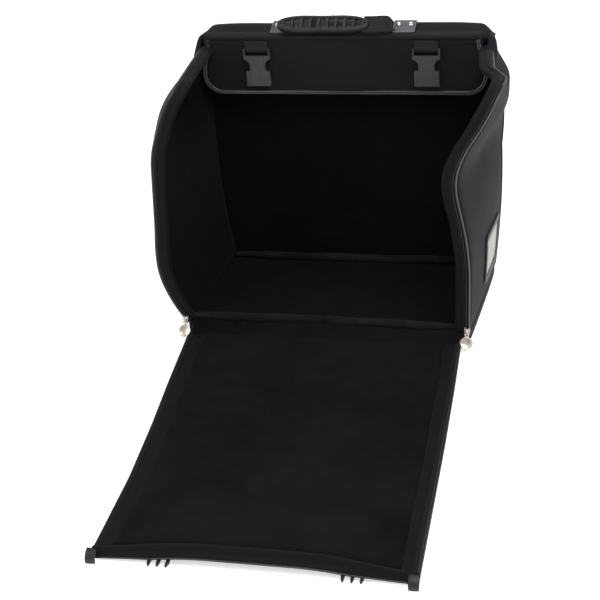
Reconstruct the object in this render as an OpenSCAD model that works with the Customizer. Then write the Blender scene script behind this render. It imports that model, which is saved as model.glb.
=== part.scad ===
// Soft carrying case for a piano accordion, shown with its front door folded down
// Millimetres, +X to the right, +Y to the back, +Z up, origin on the floor under the base

/* [Body] */
// Width of the base and of the top edge
body_w = 505; // [420:5:600]
// Depth of the base from the front edge to the back
body_d = 254; // [200:2:320]
// Height of the case
body_h = 487; // [420:1:560]
// Thickness of the padded base
base_t = 30; // [20:1:40]
// Thickness of the padded side and back walls
wall_t = 16; // [12:0.5:24]
// Depth of the fixed top strip that carries the handle
top_d = 46; // [44:1:80]
// Thickness of the fixed top strip
top_t = 21; // [16:0.5:30]
// Radius of the upper front corner of the side walls
corner_r = 50; // [20:1:80]
// How far the side walls swell at half height along the back
back_bulge = 17; // [0:1:30]
// How far the flap spreads the side walls near the top
wall_shoulder = 24; // [16:1:36]

/* [Slump of the soft walls] */
// Outward set of the left wall's front edge at the floor
left_foot = 20; // [0:1:30]
// Outward set of the left wall's front edge at its belly
left_belly = 62; // [0:1:70]
// Height of the left wall's belly
left_belly_z = 140; // [100:5:200]
// Outward set of the left wall's front edge at its chest
left_chest = 47; // [0:1:70]
// Height of the left wall's chest
left_chest_z = 330; // [250:5:380]
// Outward set of the left wall's front edge at the top
left_head = -18; // [-40:1:20]
// Outward set of the right wall's front edge at the floor
right_foot = -18; // [-24:1:0]
// Outward set of the right wall's front edge at its belly
right_belly = -17; // [-24:1:20]
// Height of the right wall's belly
right_belly_z = 180; // [100:5:240]
// Outward set of the right wall's front edge where it folds in
right_chest = -36; // [-60:1:10]
// Height where the right wall folds in
right_chest_z = 305; // [250:5:380]
// Outward set of the right wall's front edge at the top
right_head = 48; // [0:1:60]

/* [Fabrics] */
// Outer woven cover
cover_t = 2; // [1:0.5:3]
// Plush lining
lining_t = 3; // [2:0.5:4]
// Stiff board in the base and the top strip
board_t = 4; // [3:0.5:6]
// Width of the facing on the front edge of a side wall
facing_w = 24; // [18:1:30]
// Diameter of the piping on the outer front corner
piping_d = 5; // [4:0.5:6]
// Diameter of the rolled seam at the back of the floor
back_seam_d = 14; // [10:1:18]
// Diameter of the rolled seam at the door hinge
hinge_seam_d = 12; // [8:1:16]

/* [Door] */
// Length of the door, laid flat
door_l = 615; // [580:5:630]
// How much narrower than the base the door is at its hinge
door_hinge_in = 33; // [31:1:100]
// Sideways set of the door at its hinge
door_hinge_shift = -21; // [-22:1:-20]
// How much narrower than the base the door is at its free edge
door_far_in = 43; // [41:1:100]
// Sideways set of the door at its free edge
door_far_shift = -8; // [-12:1:-7]
// Thickness of the padded door
door_t = 16; // [12:0.5:20]
// Width of the fabric border along each side of the door
door_band_w = 28; // [20:1:40]
// Width of the border along the free edge
door_end_w = 14; // [10:1:20]
// How high the free edge arches off the floor
arch_h = 20; // [18:1:26]
// Space between the closed door and the side walls
close_gap = 5; // [5:0.5:8]

/* [Flap] */
// Drop of the flap
flap_l = 106; // [100:1:130]
// How much narrower than the top edge the flap is at its seam
flap_top_in = 29; // [27:1:100]
// How much narrower than the top edge the flap is near its free edge
flap_low_in = 13; // [11:1:90]
// Radius of its lower corners
flap_r = 45; // [20:1:60]
// Thickness of the flap
flap_t = 12; // [9:0.5:14]
// Width of the glossy binding round the flap
binding_w = 8; // [5:0.5:12]

/* [Straps and buckles] */
// Distance of each of the flap's straps from the middle
strap_x = 148; // [120:1:170]
// How much nearer the middle the door's straps are than the flap's
strap_set_in = 8; // [0:1:10]
// Width of the webbing
webbing_w = 40; // [30:1:44]
// Thickness of the webbing
webbing_t = 2; // [1.5:0.1:2.5]
// Distance from the flap's seam down to the buckle bar
bar_drop = 21; // [18:1:30]
// Diameter of the buckle bars
bar_d = 5; // [4:0.5:6]
// Width of the buckles
buckle_w = 48; // [48:1:54]
// Length of the socket half below its bar
socket_l = 66; // [56:1:74]
// Thickness of the buckles
buckle_t = 9; // [8:0.5:9.5]
// Width of the socket's mouth
mouth_w = 34; // [28:1:34]
// Height of the socket's mouth
mouth_t = 5; // [4.5:0.5:5]
// Depth of the socket's mouth
mouth_l = 25; // [24:1:26]
// Length of the prongs
prong_l = 23; // [18:1:23]
// How far the prongs stand out beyond the door's free edge
prong_out = 10; // [0:1:14]
// Free length of the lower straps
tail_l = 38; // [30:1:50]

/* [Handle] */
// Distance of each patch from the middle
patch_x = 107; // [100:1:130]
// Side of the square patches
patch_w = 40; // [34:1:42]
// Thickness of the patches
patch_t = 4; // [3:0.5:6]
// Distance between the two rivets of a patch
rivet_pitch = 21; // [16:1:26]
// Diameter of the rivet heads
rivet_d = 9; // [6:0.5:10]
// Length of the moulded grip
grip_l = 161; // [140:1:164]
// Width of the moulded grip
grip_w = 38; // [30:1:38]
// Thickness of the moulded grip
grip_t = 14; // [12:1:16]
// Angle at which the grip lies, its front edge down
grip_tilt = 30; // [15:1:35]
// How far the middle of the grip lies in front of the middle of the patches
grip_forward = 22; // [16:1:22]
// Sideways set of the grip on its webbing
grip_shift = -31; // [-34:1:-26]
// Height of the grip's lowest edge above the top
grip_lift = 1; // [1:0.5:6]
// Number of windows along the grip
grip_windows = 9; // [5:1:11]
// Depth of each window
window_depth = 3; // [1:0.5:4]

/* [Zips] */
// Width of the zip tape
zip_w = 9; // [7:0.5:9]
// Thickness of the zip tape and its coil
zip_t = 1.8; // [1.4:0.1:2]
// Width of a zip slider
slider_w = 10; // [8:0.5:10]
// Length of a zip slider
slider_l = 14; // [10:1:18]
// Height of the slider's lower end above the floor
slider_z = 24; // [24:1:60]
// Diameter of the round pull
pull_d = 22; // [16:1:22]
// Thickness of the round pull
pull_t = 2; // [1.5:0.5:3]
// Outer diameter of the link ring
ring_d = 8; // [7:0.5:9]

/* [Label holder] */
// Length of the label holder along the wall
label_l = 110; // [80:1:130]
// Height of the label holder
label_h = 95; // [70:1:110]
// Width of its frame
label_edge = 12; // [8:1:16]
// Distance of its middle from the middle of the wall
label_y = 28; // [0:1:40]
// Height of its middle above the floor
label_z = 110; // [100:1:200]
// Thickness of its frame
label_t = 3.6; // [3:0.1:5]

/* [Hidden] */

$fn = 48;
// Clearance between neighbouring layers and pieces
gap = 0.3;
y_front = -body_d / 2;
y_back = body_d / 2;
y_top = y_back - top_d;
wall_top = body_h - top_t - gap;
// Foam left between the cover and the lining of a wall
wall_foam_t = wall_t - cover_t - lining_t - 2 * gap;
// Depth by which a wall's layers stop short of its front surface
edge_in = piping_d + gap;
// Door hinge line
hinge_z = door_t + close_gap;
end_gap = 0.5;
// Bend line of the door, from the hinge
lower_l = wall_top + close_gap - hinge_z;
upper_l = door_l - lower_l;
bend_y = y_front - lower_l;
far_y = y_front - door_l;

// Smooth step from 0 to 1
function ease(t) = let (c = min(1, max(0, t))) c * c * (3 - 2 * c);
function mix(a, b, t) = a + (b - a) * t;
// Smooth run through four height and value pairs
function run(z, p) =
  z < p[1][0] ? mix(p[0][1], p[1][1], ease((z - p[0][0]) / (p[1][0] - p[0][0])))
  : z < p[2][0] ? mix(p[1][1], p[2][1], ease((z - p[1][0]) / (p[2][0] - p[1][0])))
  : mix(p[2][1], p[3][1], ease((z - p[2][0]) / (p[3][0] - p[2][0])));
left_slump = [[0, left_foot], [left_belly_z, left_belly], [left_chest_z, left_chest],
  [body_h, left_head]];
right_slump = [[0, right_foot], [right_belly_z, right_belly], [right_chest_z, right_chest],
  [body_h, right_head]];
// Height at which the flap starts to spread the side walls, and the rise to its full spread
shoulder_z = 300;
shoulder_rise = 100;
// Sideways position of a side wall's outer face, side is -1 left or 1 right
function wall_x(side, y, z) = let (v = (y - y_front) / body_d)
  side * (body_w / 2 + back_bulge * v * sin(180 * min(1, max(0, z / body_h)))
    + wall_shoulder * sin(180 * v) * ease((z - shoulder_z) / shoulder_rise)
    + run(z, side < 0 ? left_slump : right_slump) * pow(max(0, 1 - v), 1.2));
// Front of a wall at a height, set back by inset from its surface, round at the top
function wall_front(z, inset) = let (r = corner_r - inset, h = z - (wall_top - corner_r))
  y_front + corner_r - (h <= 0 ? r : sqrt(max(0, r * r - h * h)));
door_hinge_w = body_w - door_hinge_in;
door_far_w = body_w - door_far_in;
// Door edge at a distance from the hinge, side is -1 left or 1 right
function door_x(side, l) = let (t = l / door_l)
  mix(door_hinge_shift, door_far_shift, t) + side * mix(door_hinge_w, door_far_w, t) / 2;
// Height of the door's underside above the floor, flat for a margin along each side
arch_margin = 16;
arch_rise = 40;
function arch(x, l) = l <= lower_l ? 0
  : arch_h * ease((l - lower_l) / upper_l)
    * ease((door_far_w / 2 - abs(x - door_far_shift) - arch_margin) / arch_rise);

// Closed sheet between two surfaces, given as functions of u and v from 0 to 1
module sheet(nu, nv, under, over) {
  n = (nu + 1) * (nv + 1);
  function k(i, j) = i * (nv + 1) + j;
  points = [for (f = [under, over]) for (i = [0:nu]) for (j = [0:nv]) f(i / nu, j / nv)];
  faces = [for (i = [0:nu - 1]) for (j = [0:nv - 1])
      let (a = k(i, j), b = k(i + 1, j), c = k(i + 1, j + 1), d = k(i, j + 1))
      each [[a, b, c], [a, c, d], [n + a, n + d, n + c], [n + a, n + c, n + b]]];
  ends_u = [for (j = [0:nv - 1]) let (a = k(0, j), b = k(0, j + 1), c = k(nu, j), d = k(nu, j + 1))
      each [[a, b, n + b], [a, n + b, n + a], [c, n + c, n + d], [c, n + d, d]]];
  ends_v = [for (i = [0:nu - 1]) let (a = k(i, 0), b = k(i + 1, 0), c = k(i, nv), d = k(i + 1, nv))
      each [[a, n + a, n + b], [a, n + b, b], [c, d, n + d], [c, n + d, n + c]]];
  polyhedron(points, concat(faces, ends_u, ends_v));
}

// Closed tube or bar through rings of points
module skin(rings) {
  m = len(rings[0]);
  last = len(rings) - 1;
  sides = [for (i = [0:last - 1]) for (j = [0:m - 1])
      let (a = i * m + j, b = i * m + (j + 1) % m)
      each [[a, b, b + m], [a, b + m, a + m]]];
  polyhedron([for (r = rings) each r],
    concat(sides, [[for (j = [m - 1:-1:0]) j]], [[for (j = [0:m - 1]) last * m + j]]));
}

// Path up the front edge of a wall, round its corner and back along its top
function edge_path(z0, y1) = concat(
  [for (i = [0:12]) let (z = mix(z0, wall_top - corner_r, i / 12)) [y_front, z, -1, 0]],
  [for (i = [1:6]) let (a = 15 * i)
      [y_front + corner_r * (1 - cos(a)), wall_top - corner_r * (1 - sin(a)), -cos(a), sin(a)]],
  [for (i = [1:3]) [mix(y_front + corner_r, y1, i / 3), wall_top, 0, 1]]);
// Strip along that path, from in_x to out_x inside the outer face and from lo to hi off the surface
module edge_strip(side, in_x, out_x, lo, hi, z0, y1) {
  rings = [for (p = edge_path(z0, y1)) let (x = wall_x(side, p[0], p[1]))
      [for (c = [[in_x, lo], [out_x, lo], [out_x, hi], [in_x, hi]])
        [x - side * c[0], p[0] + p[2] * c[1], p[1] + p[3] * c[1]]]];
  skin(side < 0 ? rings : [for (r = rings) [r[3], r[2], r[1], r[0]]]);
}
module edge_cord(side, d, z0, y1) {
  rings = [for (p = edge_path(z0, y1)) let (x = wall_x(side, p[0], p[1]))
      [for (a = [0:45:315]) let (c = d / 2 * (1 - cos(a)), n = d / 2 * (sin(a) - 1))
        [x - side * c, p[0] + p[2] * n, p[1] + p[3] * n]]];
  skin(side < 0 ? [for (r = rings) [for (j = [7:-1:0]) r[j]]] : rings);
}

// Padded walls
module wall_layer(side, from, thick) {
  far = side < 0 ? from : from + thick;
  near = side < 0 ? from + thick : from;
  z0 = base_t + gap;
  z1 = wall_top - edge_in;
  y1 = y_back - wall_t - gap;
  place = function (u, v, depth) let (z = mix(z0, z1, sin(90 * v)),
      y = mix(wall_front(z, edge_in), y1, u)) [wall_x(side, y, z) - side * depth, y, z];
  sheet(5, 13, function (u, v) place(u, v, far), function (u, v) place(u, v, near));
}
module wall_cover(side) color([0.13, 0.12, 0.14]) wall_layer(side, 0, cover_t);
module wall_foam(side) color([0.30, 0.30, 0.32]) wall_layer(side, cover_t + gap, wall_foam_t);
module wall_lining(side) color([0.05, 0.05, 0.06]) wall_layer(side, wall_t - lining_t, lining_t);

module back_layer(from, thick) {
  place = function (u, v, y) let (z = mix(base_t + gap, wall_top, u))
    [mix(wall_x(-1, y_back, z), wall_x(1, y_back, z), v), y, z];
  sheet(8, 1, function (u, v) place(u, v, y_back - from - thick),
    function (u, v) place(u, v, y_back - from));
}
module back_cover() color([0.13, 0.12, 0.14]) back_layer(0, cover_t);
module back_foam() color([0.30, 0.30, 0.32]) back_layer(cover_t + gap, wall_foam_t);
module back_lining() color([0.05, 0.05, 0.06]) back_layer(wall_t - lining_t, lining_t);

module base_layer(from, thick) {
  place = function (u, v, z) let (y = mix(y_front, y_back, v))
    [mix(wall_x(-1, y, 0), wall_x(1, y, 0), u), y, z];
  sheet(1, 5, function (u, v) place(u, v, from), function (u, v) place(u, v, from + thick));
}
base_foam_z = cover_t + board_t + 2 * gap;
module base_cover() color([0.12, 0.12, 0.13]) base_layer(0, cover_t);
module base_board() color([0.45, 0.36, 0.26]) base_layer(cover_t + gap, board_t);
module base_foam() color([0.30, 0.30, 0.32])
  base_layer(base_foam_z, base_t - lining_t - gap - base_foam_z);
module base_lining() color([0.05, 0.05, 0.06]) base_layer(base_t - lining_t, lining_t);

module top_plate(from, thick) translate([-body_w / 2, y_top, body_h - from - thick])
  cube([body_w, top_d, thick]);
top_foam_from = cover_t + board_t + 2 * gap;
module top_cover() color([0.14, 0.13, 0.15]) top_plate(0, cover_t);
module top_board() color([0.45, 0.36, 0.26]) top_plate(cover_t + gap, board_t);
module top_foam() color([0.30, 0.30, 0.32])
  top_plate(top_foam_from, top_t - lining_t - gap - top_foam_from);
module top_lining() color([0.05, 0.05, 0.06]) top_plate(top_t - lining_t, lining_t);

module facing(side) color([0.11, 0.11, 0.13])
  edge_strip(side, facing_w, piping_d + gap, -piping_d, 0, base_t + gap, y_top - gap);
module piping(side) color([0.25, 0.25, 0.26]) edge_cord(side, piping_d, base_t + gap, y_top - gap);
// The tape runs down the front of the base as far as the parked slider
module wall_zip_tapes() color([0.08, 0.08, 0.08]) for (side = [-1, 1])
  edge_strip(side, zip_w, 0, gap, gap + zip_t, slider_z, y_top - gap);

// Rolled seams across the floor
module rolled_seam(d, x0, x1, y, z) color([0.07, 0.07, 0.08])
  translate([x0, y, z]) rotate([0, 90, 0]) cylinder(d = d, h = x1 - x0);
module floor_back_seam() {
  half = body_w / 2 - wall_t - 2;
  rolled_seam(back_seam_d, -half, half, y_back - wall_t - gap - back_seam_d / 2,
    base_t + gap + back_seam_d / 2);
}
module hinge_seam() {
  inset = facing_w + 3;
  rolled_seam(hinge_seam_d, wall_x(-1, y_front, base_t) + inset, wall_x(1, y_front, base_t) - inset,
    y_front + gap + hinge_seam_d / 2, base_t + gap + hinge_seam_d / 2);
}

// Door, a flat lower section and an upper section whose free edge arches off the floor
module door_layer(l0, l1, in, from, thick, nu, nv) {
  place = function (u, v, h) let (l = mix(l1, l0, v), x = mix(door_x(-1, l) + in, door_x(1, l) - in, u))
    [x, y_front - l, h + arch(x, l)];
  sheet(nu, nv, function (u, v) place(u, v, from), function (u, v) place(u, v, from + thick));
}
door_foam_t = door_t - cover_t - lining_t - 2 * gap;
door_in = door_band_w + gap;
lower_span = [end_gap, lower_l - end_gap / 2];
upper_span = [lower_l + end_gap / 2, door_l - door_end_w - gap];
module door_panel(span, from, thick, nu, nv)
  door_layer(span[0], span[1], door_in, from, thick, nu, nv);
module door_border(side, span, nv) {
  l0 = span[0];
  l1 = span[1];
  place = function (u, v, h) let (l = mix(l1, l0, v), b = door_x(side, l),
      x = side < 0 ? b + u * door_band_w : b - (1 - u) * door_band_w) [x, y_front - l, h + arch(x, l)];
  sheet(2, nv, function (u, v) place(u, v, 0), function (u, v) place(u, v, door_t));
}
module lower_door_cover() color([0.12, 0.12, 0.13]) door_panel(lower_span, 0, cover_t, 1, 1);
module lower_door_foam() color([0.30, 0.30, 0.32])
  door_panel(lower_span, cover_t + gap, door_foam_t, 1, 1);
module lower_door_lining() color([0.06, 0.06, 0.07])
  door_panel(lower_span, door_t - lining_t, lining_t, 1, 1);
module lower_door_borders() color([0.11, 0.11, 0.13])
  for (side = [-1, 1]) door_border(side, lower_span, 1);
module upper_door_cover() color([0.12, 0.12, 0.13]) door_panel(upper_span, 0, cover_t, 14, 8);
module upper_door_foam() color([0.30, 0.30, 0.32])
  door_panel(upper_span, cover_t + gap, door_foam_t, 14, 8);
module upper_door_lining() color([0.06, 0.06, 0.07])
  door_panel(upper_span, door_t - lining_t, lining_t, 14, 8);
module upper_door_borders() color([0.11, 0.11, 0.13])
  for (side = [-1, 1]) door_border(side, upper_span, 8);
module door_end_border() color([0.11, 0.11, 0.13])
  door_layer(door_l - door_end_w, door_l, 0, 0, door_t, 14, 1);
// Zip tape on the inner face of each side border
module door_tape(side, span, nv) {
  place = function (u, v, h) let (l = mix(span[1], span[0], v), b = door_x(side, l),
      x = b - side * (side < 0 ? 1 + u * zip_w : 1 + (1 - u) * zip_w))
    [x, y_front - l, door_t + h + arch(x, l)];
  sheet(1, nv, function (u, v) place(u, v, gap), function (u, v) place(u, v, gap + zip_t));
}
// Each tape stops short of the bend, so that the two clear each other when the door bends
tape_in = 3;
module door_zip_tapes() color([0.08, 0.08, 0.08])
  for (side = [-1, 1]) door_tape(side, [lower_span[0], lower_l - tape_in], 1);
module door_end_zip_tapes() color([0.08, 0.08, 0.08])
  for (side = [-1, 1]) door_tape(side, [lower_l + tape_in, upper_span[1]], 8);
// Leather tab that closes the end of each zip
tab_w = 16;
tab_l = 20;
tab_t = 3;
module zip_end_tabs() color([0.20, 0.20, 0.21]) for (side = [-1, 1])
  translate([door_x(side, door_l) - (side < 0 ? 0 : tab_w), far_y - gap - tab_t, 0])
    cube([tab_w, tab_t, tab_l]);

// Lower straps, each sewn to an anchor on the door's underside and free beyond it
prong_back = prong_l - prong_out;
block_l = 22;
strap_z = buckle_t / 2 + 0.5;
// Distance from the free edge of the door to the bar, and to the line where the strap swings
male_bar = prong_back + block_l + bar_d;
swing_in = male_bar + tail_l;
swing_y = far_y + swing_in;
anchor_l = 20;
door_strap_x = strap_x - strap_set_in;
module strap_anchors() color([0.10, 0.10, 0.10]) for (side = [-1, 1]) {
  l1 = door_l - swing_in - webbing_t / 2 - gap;
  under = function (u, v) [side * door_strap_x + (u - 0.5) * webbing_w, y_front - mix(l1, l1 - anchor_l, v),
    strap_z - webbing_t];
  over = function (u, v) let (p = under(u, v)) [p[0], p[1], arch(p[0], y_front - p[1]) - 2 * gap];
  sheet(3, 3, under, over);
}
eye_in = bar_d / 2 + gap;
eye_out = eye_in + webbing_t;
// Loop of webbing round a bar
module eye() rotate([0, 90, 0]) difference() {
  cylinder(r = eye_out, h = webbing_w, center = true);
  cylinder(r = eye_in, h = webbing_w + 2, center = true);
}
// Bar between the two arms of a buckle
module bar() rotate([0, 90, 0]) cylinder(d = bar_d, h = buckle_w - 2, center = true);
arm_w = (buckle_w - webbing_w) / 2 - gap;
// Overlap that joins an arm to its block
weld = 0.02;
// How far the arms reach past the middle of the bar, short enough to swing clear of the flap
arm_over = bar_d / 2 - 0.6;
module arms(len) for (side = [-1, 1])
  translate([side * (buckle_w - arm_w) / 2, 0, -len / 2]) cube([arm_w, buckle_t, len + weld], center = true);
// Prong half, its bar on the origin and its prongs along -Z
prong_w = 5;
prong_tip_w = 2;
prong_taper = 6;
prong_inset = 4;
module prong_half() color([0.22, 0.22, 0.23]) union() {
  block_from = bar_d;
  translate([0, 0, arm_over]) arms(block_from + arm_over);
  bar();
  translate([-buckle_w / 2, -buckle_t / 2, -block_from - block_l]) cube([buckle_w, buckle_t, block_l]);
  prong_z = block_from + block_l;
  for (x = [-1, 0, 1]) translate([x * (mouth_w / 2 - prong_inset), 0, -prong_z]) rotate([90, 0, 0])
    linear_extrude(height = mouth_t - 1, center = true)
      polygon([[-prong_w / 2, 1], [-prong_w / 2, prong_taper - prong_l], [-prong_tip_w / 2, -prong_l],
        [prong_tip_w / 2, -prong_l], [prong_w / 2, prong_taper - prong_l], [prong_w / 2, 1]]);
}
module prong_buckle(side) {
  translate([side * door_strap_x, far_y + male_bar, strap_z]) rotate([-90, 0, 0]) prong_half();
  color([0.09, 0.09, 0.09]) translate([side * door_strap_x, 0, 0]) {
    translate([0, far_y + male_bar, strap_z]) eye();
    start = far_y + male_bar + eye_in + webbing_t / 2;
    translate([-webbing_w / 2, start, strap_z - webbing_t / 2])
      cube([webbing_w, swing_y - start, webbing_t]);
    translate([0, swing_y, strap_z]) rotate([0, 90, 0])
      cylinder(d = webbing_t, h = webbing_w, center = true);
  }
}

// Flap outline, hanging down from its seam
function arc(cx, cz, r, a0, a1) =
  [for (i = [0:8]) let (a = mix(a0, a1, i / 8)) [cx + r * cos(a), cz + r * sin(a)]];
flap_top_w = body_w - flap_top_in;
flap_low_w = body_w - flap_low_in;
function flap_outline(in) = let (t = flap_top_w / 2 - in, w = flap_low_w / 2 - in, b = -flap_l + in,
    r = flap_r - in, k = -flap_l + flap_r)
  concat([[-t, 0]], arc(-w + r, k, r, 180, 270), arc(w - r, k, r, 270, 360), [[t, 0]]);
flap_y = y_top - end_gap;
flap_z = body_h - end_gap;
module flap_slice(from, thick) translate([0, flap_y - from, flap_z]) rotate([90, 0, 0])
  linear_extrude(height = thick) children();
module flap_panel(from, thick) flap_slice(from, thick) polygon(flap_outline(binding_w + gap));
flap_lining_t = lining_t - 0.5;
flap_foam_t = flap_t - flap_lining_t - cover_t - 2 * gap;
module flap_lining() color([0.05, 0.05, 0.06]) flap_panel(0, flap_lining_t);
module flap_foam() color([0.30, 0.30, 0.32]) flap_panel(flap_lining_t + gap, flap_foam_t);
module flap_cover() color([0.12, 0.12, 0.14]) flap_panel(flap_t - cover_t, cover_t);
module flap_binding() color([0.25, 0.25, 0.26]) flap_slice(0, flap_t) difference() {
  polygon(flap_outline(0));
  polygon([for (p = flap_outline(binding_w)) [p[0], p[1] == 0 ? 1 : p[1]]]);
}
// Webbing down the front of the flap, ending in a loop round the buckle's bar
bar_z = flap_z - bar_drop;
bar_y = flap_y - flap_t - gap - eye_out;
module flap_straps() color([0.09, 0.09, 0.09]) for (side = [-1, 1]) {
  translate([side * strap_x, bar_y, bar_z]) eye();
  translate([side * strap_x - webbing_w / 2, bar_y + eye_in, bar_z])
    cube([webbing_w, webbing_t, bar_drop]);
}
// Socket half, its bar on the origin and its mouth down, with a shoulder, a waist and a foot
socket_neck = 10;
shoulder_end = socket_neck + 8;
waist_start = shoulder_end + 6;
waist_end = waist_start + 12;
foot_start = waist_end + 8;
waist_w = 28;
socket_foot = 43;
module socket_half() color([0.22, 0.22, 0.23]) difference() {
  union() {
    bar();
    translate([0, 0, arm_over]) arms(socket_neck + arm_over);
    profile = [[buckle_w / 2, -socket_neck], [buckle_w / 2, -shoulder_end],
      [waist_w / 2, -waist_start], [waist_w / 2, -waist_end],
      [socket_foot / 2, -foot_start], [socket_foot / 2, -socket_l]];
    rotate([90, 0, 0]) linear_extrude(height = buckle_t, center = true)
      polygon(concat(profile, [for (i = [5:-1:0]) [-profile[i][0], profile[i][1]]]));
  }
  translate([-mouth_w / 2, -mouth_t / 2, -socket_l - 1]) cube([mouth_w, mouth_t, mouth_l + 1]);
}
module socket_buckle(side) translate([side * strap_x, bar_y, bar_z]) socket_half();

// Handle, leather patches riveted over webbing that runs through a moulded grip
patch_y = y_back - top_d / 2;
grip_y = patch_y - grip_forward;
grip_z = body_h + grip_lift + (grip_w * sin(grip_tilt) + grip_t * cos(grip_tilt)) / 2;
grip_end = grip_shift + grip_l / 2;
strap_w = patch_w - 3;
module handle_patch(side) color([0.27, 0.26, 0.29]) difference() {
  translate([side * patch_x - patch_w / 2, patch_y - patch_w / 2, body_h]) cube([patch_w, patch_w, patch_t]);
  translate([side * (patch_x - 2) - patch_w / 2, patch_y - strap_w / 2 - gap, body_h - 1])
    cube([patch_w, strap_w + 2 * gap, 1 + webbing_t + gap]);
}
module handle_rivets() color("silver") for (side = [-1, 1]) for (i = [-0.5, 0.5])
  translate([side * patch_x + i * rivet_pitch, patch_y, body_h + patch_t])
    cylinder(d1 = rivet_d, d2 = rivet_d * 0.7, h = 1.6);
patch_out = patch_x + patch_w / 2 - 4;
patch_in = patch_x - patch_w / 2;
// Where the webbing of the grip starts beside the left patch, and how far along it rises
entry_x = -patch_in + 4;
entry_w = 22;
core_w = grip_w - 8;
// Thin slices of webbing, one lying on the top and one tipped with the grip, grown by more
slice = 1;
module flat_slice(x, w, more = 0) translate([x - slice / 2, patch_y - w / 2 - more, body_h + gap - more])
  cube([slice, w + 2 * more, webbing_t - gap + 2 * more]);
module tipped_slice(x, w, more = 0) translate([x, grip_y, grip_z]) rotate([grip_tilt, 0, 0])
  cube([slice, w + 2 * more, webbing_t + 2 * more], center = true);
module flat_strap(x0, x1) translate([x0, patch_y - strap_w / 2, body_h])
  cube([x1 - x0, strap_w, webbing_t]);
module left_handle_webbing() color([0.09, 0.09, 0.09]) flat_strap(-patch_out, entry_x - gap);
loop_x = patch_in - 7;
module right_handle_webbing() color([0.09, 0.09, 0.09]) {
  flat_strap(patch_in - slice, patch_out);
  hull() {
    flat_slice(patch_in - slice / 2, strap_w);
    tipped_slice(loop_x, strap_w);
  }
  hull() {
    tipped_slice(loop_x, strap_w);
    tipped_slice(grip_end + gap + slice / 2, strap_w);
  }
}
// Webbing inside the grip, from its right end to its way out towards the left patch
module core_shape(more) {
  hull() {
    flat_slice(entry_x + slice / 2, core_w, more);
    tipped_slice(entry_x + entry_w, core_w, more);
  }
  hull() {
    tipped_slice(entry_x + entry_w, core_w, more);
    tipped_slice(grip_end - slice / 2, core_w, more);
  }
}
module handle_core() color([0.09, 0.09, 0.09]) core_shape(0);
// Leaf-shaped grip, slotted for its webbing and with a row of windows on top
module grip_outline(in) {
  w = grip_w / 2 - in;
  l = grip_l / 2 - in;
  polygon([for (i = [0:35]) let (a = 10 * i, c = cos(a), s = sin(a))
    [l * sign(c) * pow(abs(c), 0.7), w * sign(s) * pow(abs(s), 0.8)]]);
}
window_d = 14;
window_share = 0.6;
module handle_grip() color([0.10, 0.10, 0.10]) difference() {
  translate([grip_shift, grip_y, grip_z]) rotate([grip_tilt, 0, 0]) difference() {
    translate([0, 0, -grip_t / 2]) union() {
      translate([0, 0, 2]) linear_extrude(height = grip_t - 4) grip_outline(0);
      linear_extrude(height = grip_t) grip_outline(2.5);
    }
    pitch = (grip_l - 40) / grip_windows;
    for (i = [0:grip_windows - 1])
      translate([(i - (grip_windows - 1) / 2) * pitch - pitch * window_share / 2, -window_d / 2,
        grip_t / 2 - window_depth]) cube([pitch * window_share, window_d, window_depth + 1]);
    translate([grip_l / 2, 0, 0]) cube([2 * slice, core_w + 2 * gap, webbing_t + 2 * gap], center = true);
  }
  core_shape(gap);
}

// Label holder on the right wall
module label_sheet(in, lo, hi) {
  place = function (u, v, off) let (y = label_y + (u - 0.5) * (label_l - 2 * in),
      z = label_z + (v - 0.5) * (label_h - 2 * in)) [wall_x(1, y, z) + off, y, z];
  sheet(4, 4, function (u, v) place(u, v, lo), function (u, v) place(u, v, hi));
}
label_out = wall_x(1, label_y, label_z);
label_cut = 60;
module label_frame() color([0.24, 0.20, 0.18]) difference() {
  label_sheet(0, gap, label_t);
  translate([label_out, label_y, label_z])
    cube([label_cut, label_l - 2 * label_edge, label_h - 2 * label_edge], center = true);
}
card_t = 0.6;
window_t = 1;
module label_card() color([0.93, 0.92, 0.88]) label_sheet(label_edge + gap, gap, gap + card_t);
module label_window() color([0.75, 0.78, 0.80, 0.5])
  label_sheet(label_edge + gap, 2 * gap + card_t, 2 * gap + card_t + window_t);

// Zip sliders and their round pulls, parked at the lower corners
slider_y = y_front - gap - zip_t - gap;
slider_t = 5;
function slider_x(side) = wall_x(side, y_front, slider_z + slider_l / 2) - side * zip_w / 2;
link_y = slider_y - slider_t - 2;
link_z = slider_z + slider_l / 2;
module zip_slider(side) color([0.80, 0.78, 0.74]) translate([slider_x(side), 0, slider_z]) {
  translate([0, slider_y, 0]) rotate([90, 0, 0]) linear_extrude(height = slider_t)
    polygon([[-slider_w / 2, slider_l], [slider_w / 2, slider_l], [slider_w / 2, slider_l * 0.5],
      [slider_w * 0.3, 0], [-slider_w * 0.3, 0], [-slider_w / 2, slider_l * 0.5]]);
  translate([0, link_y, slider_l / 2]) rotate([0, 90, 0]) difference() {
    cylinder(d = 6, h = 3, center = true);
    cylinder(d = 3, h = 5, center = true);
  }
}
// Round pull with a loop at its head, hanging forward
pull_tilt = -35;
wire_d = 1.2;
module zip_pull(side) color([0.85, 0.80, 0.72]) translate([slider_x(side), link_y, link_z])
  rotate([pull_tilt, 0, 0]) rotate([90, 0, 0]) {
    ring_r = (ring_d - wire_d) / 2;
    translate([0, -ring_r, 0]) rotate_extrude() translate([ring_r, 0]) circle(d = wire_d, $fn = 16);
    translate([0, -2 * ring_r - pull_d / 2, 0]) cylinder(d = pull_d, h = pull_t, center = true);
  }

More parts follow.
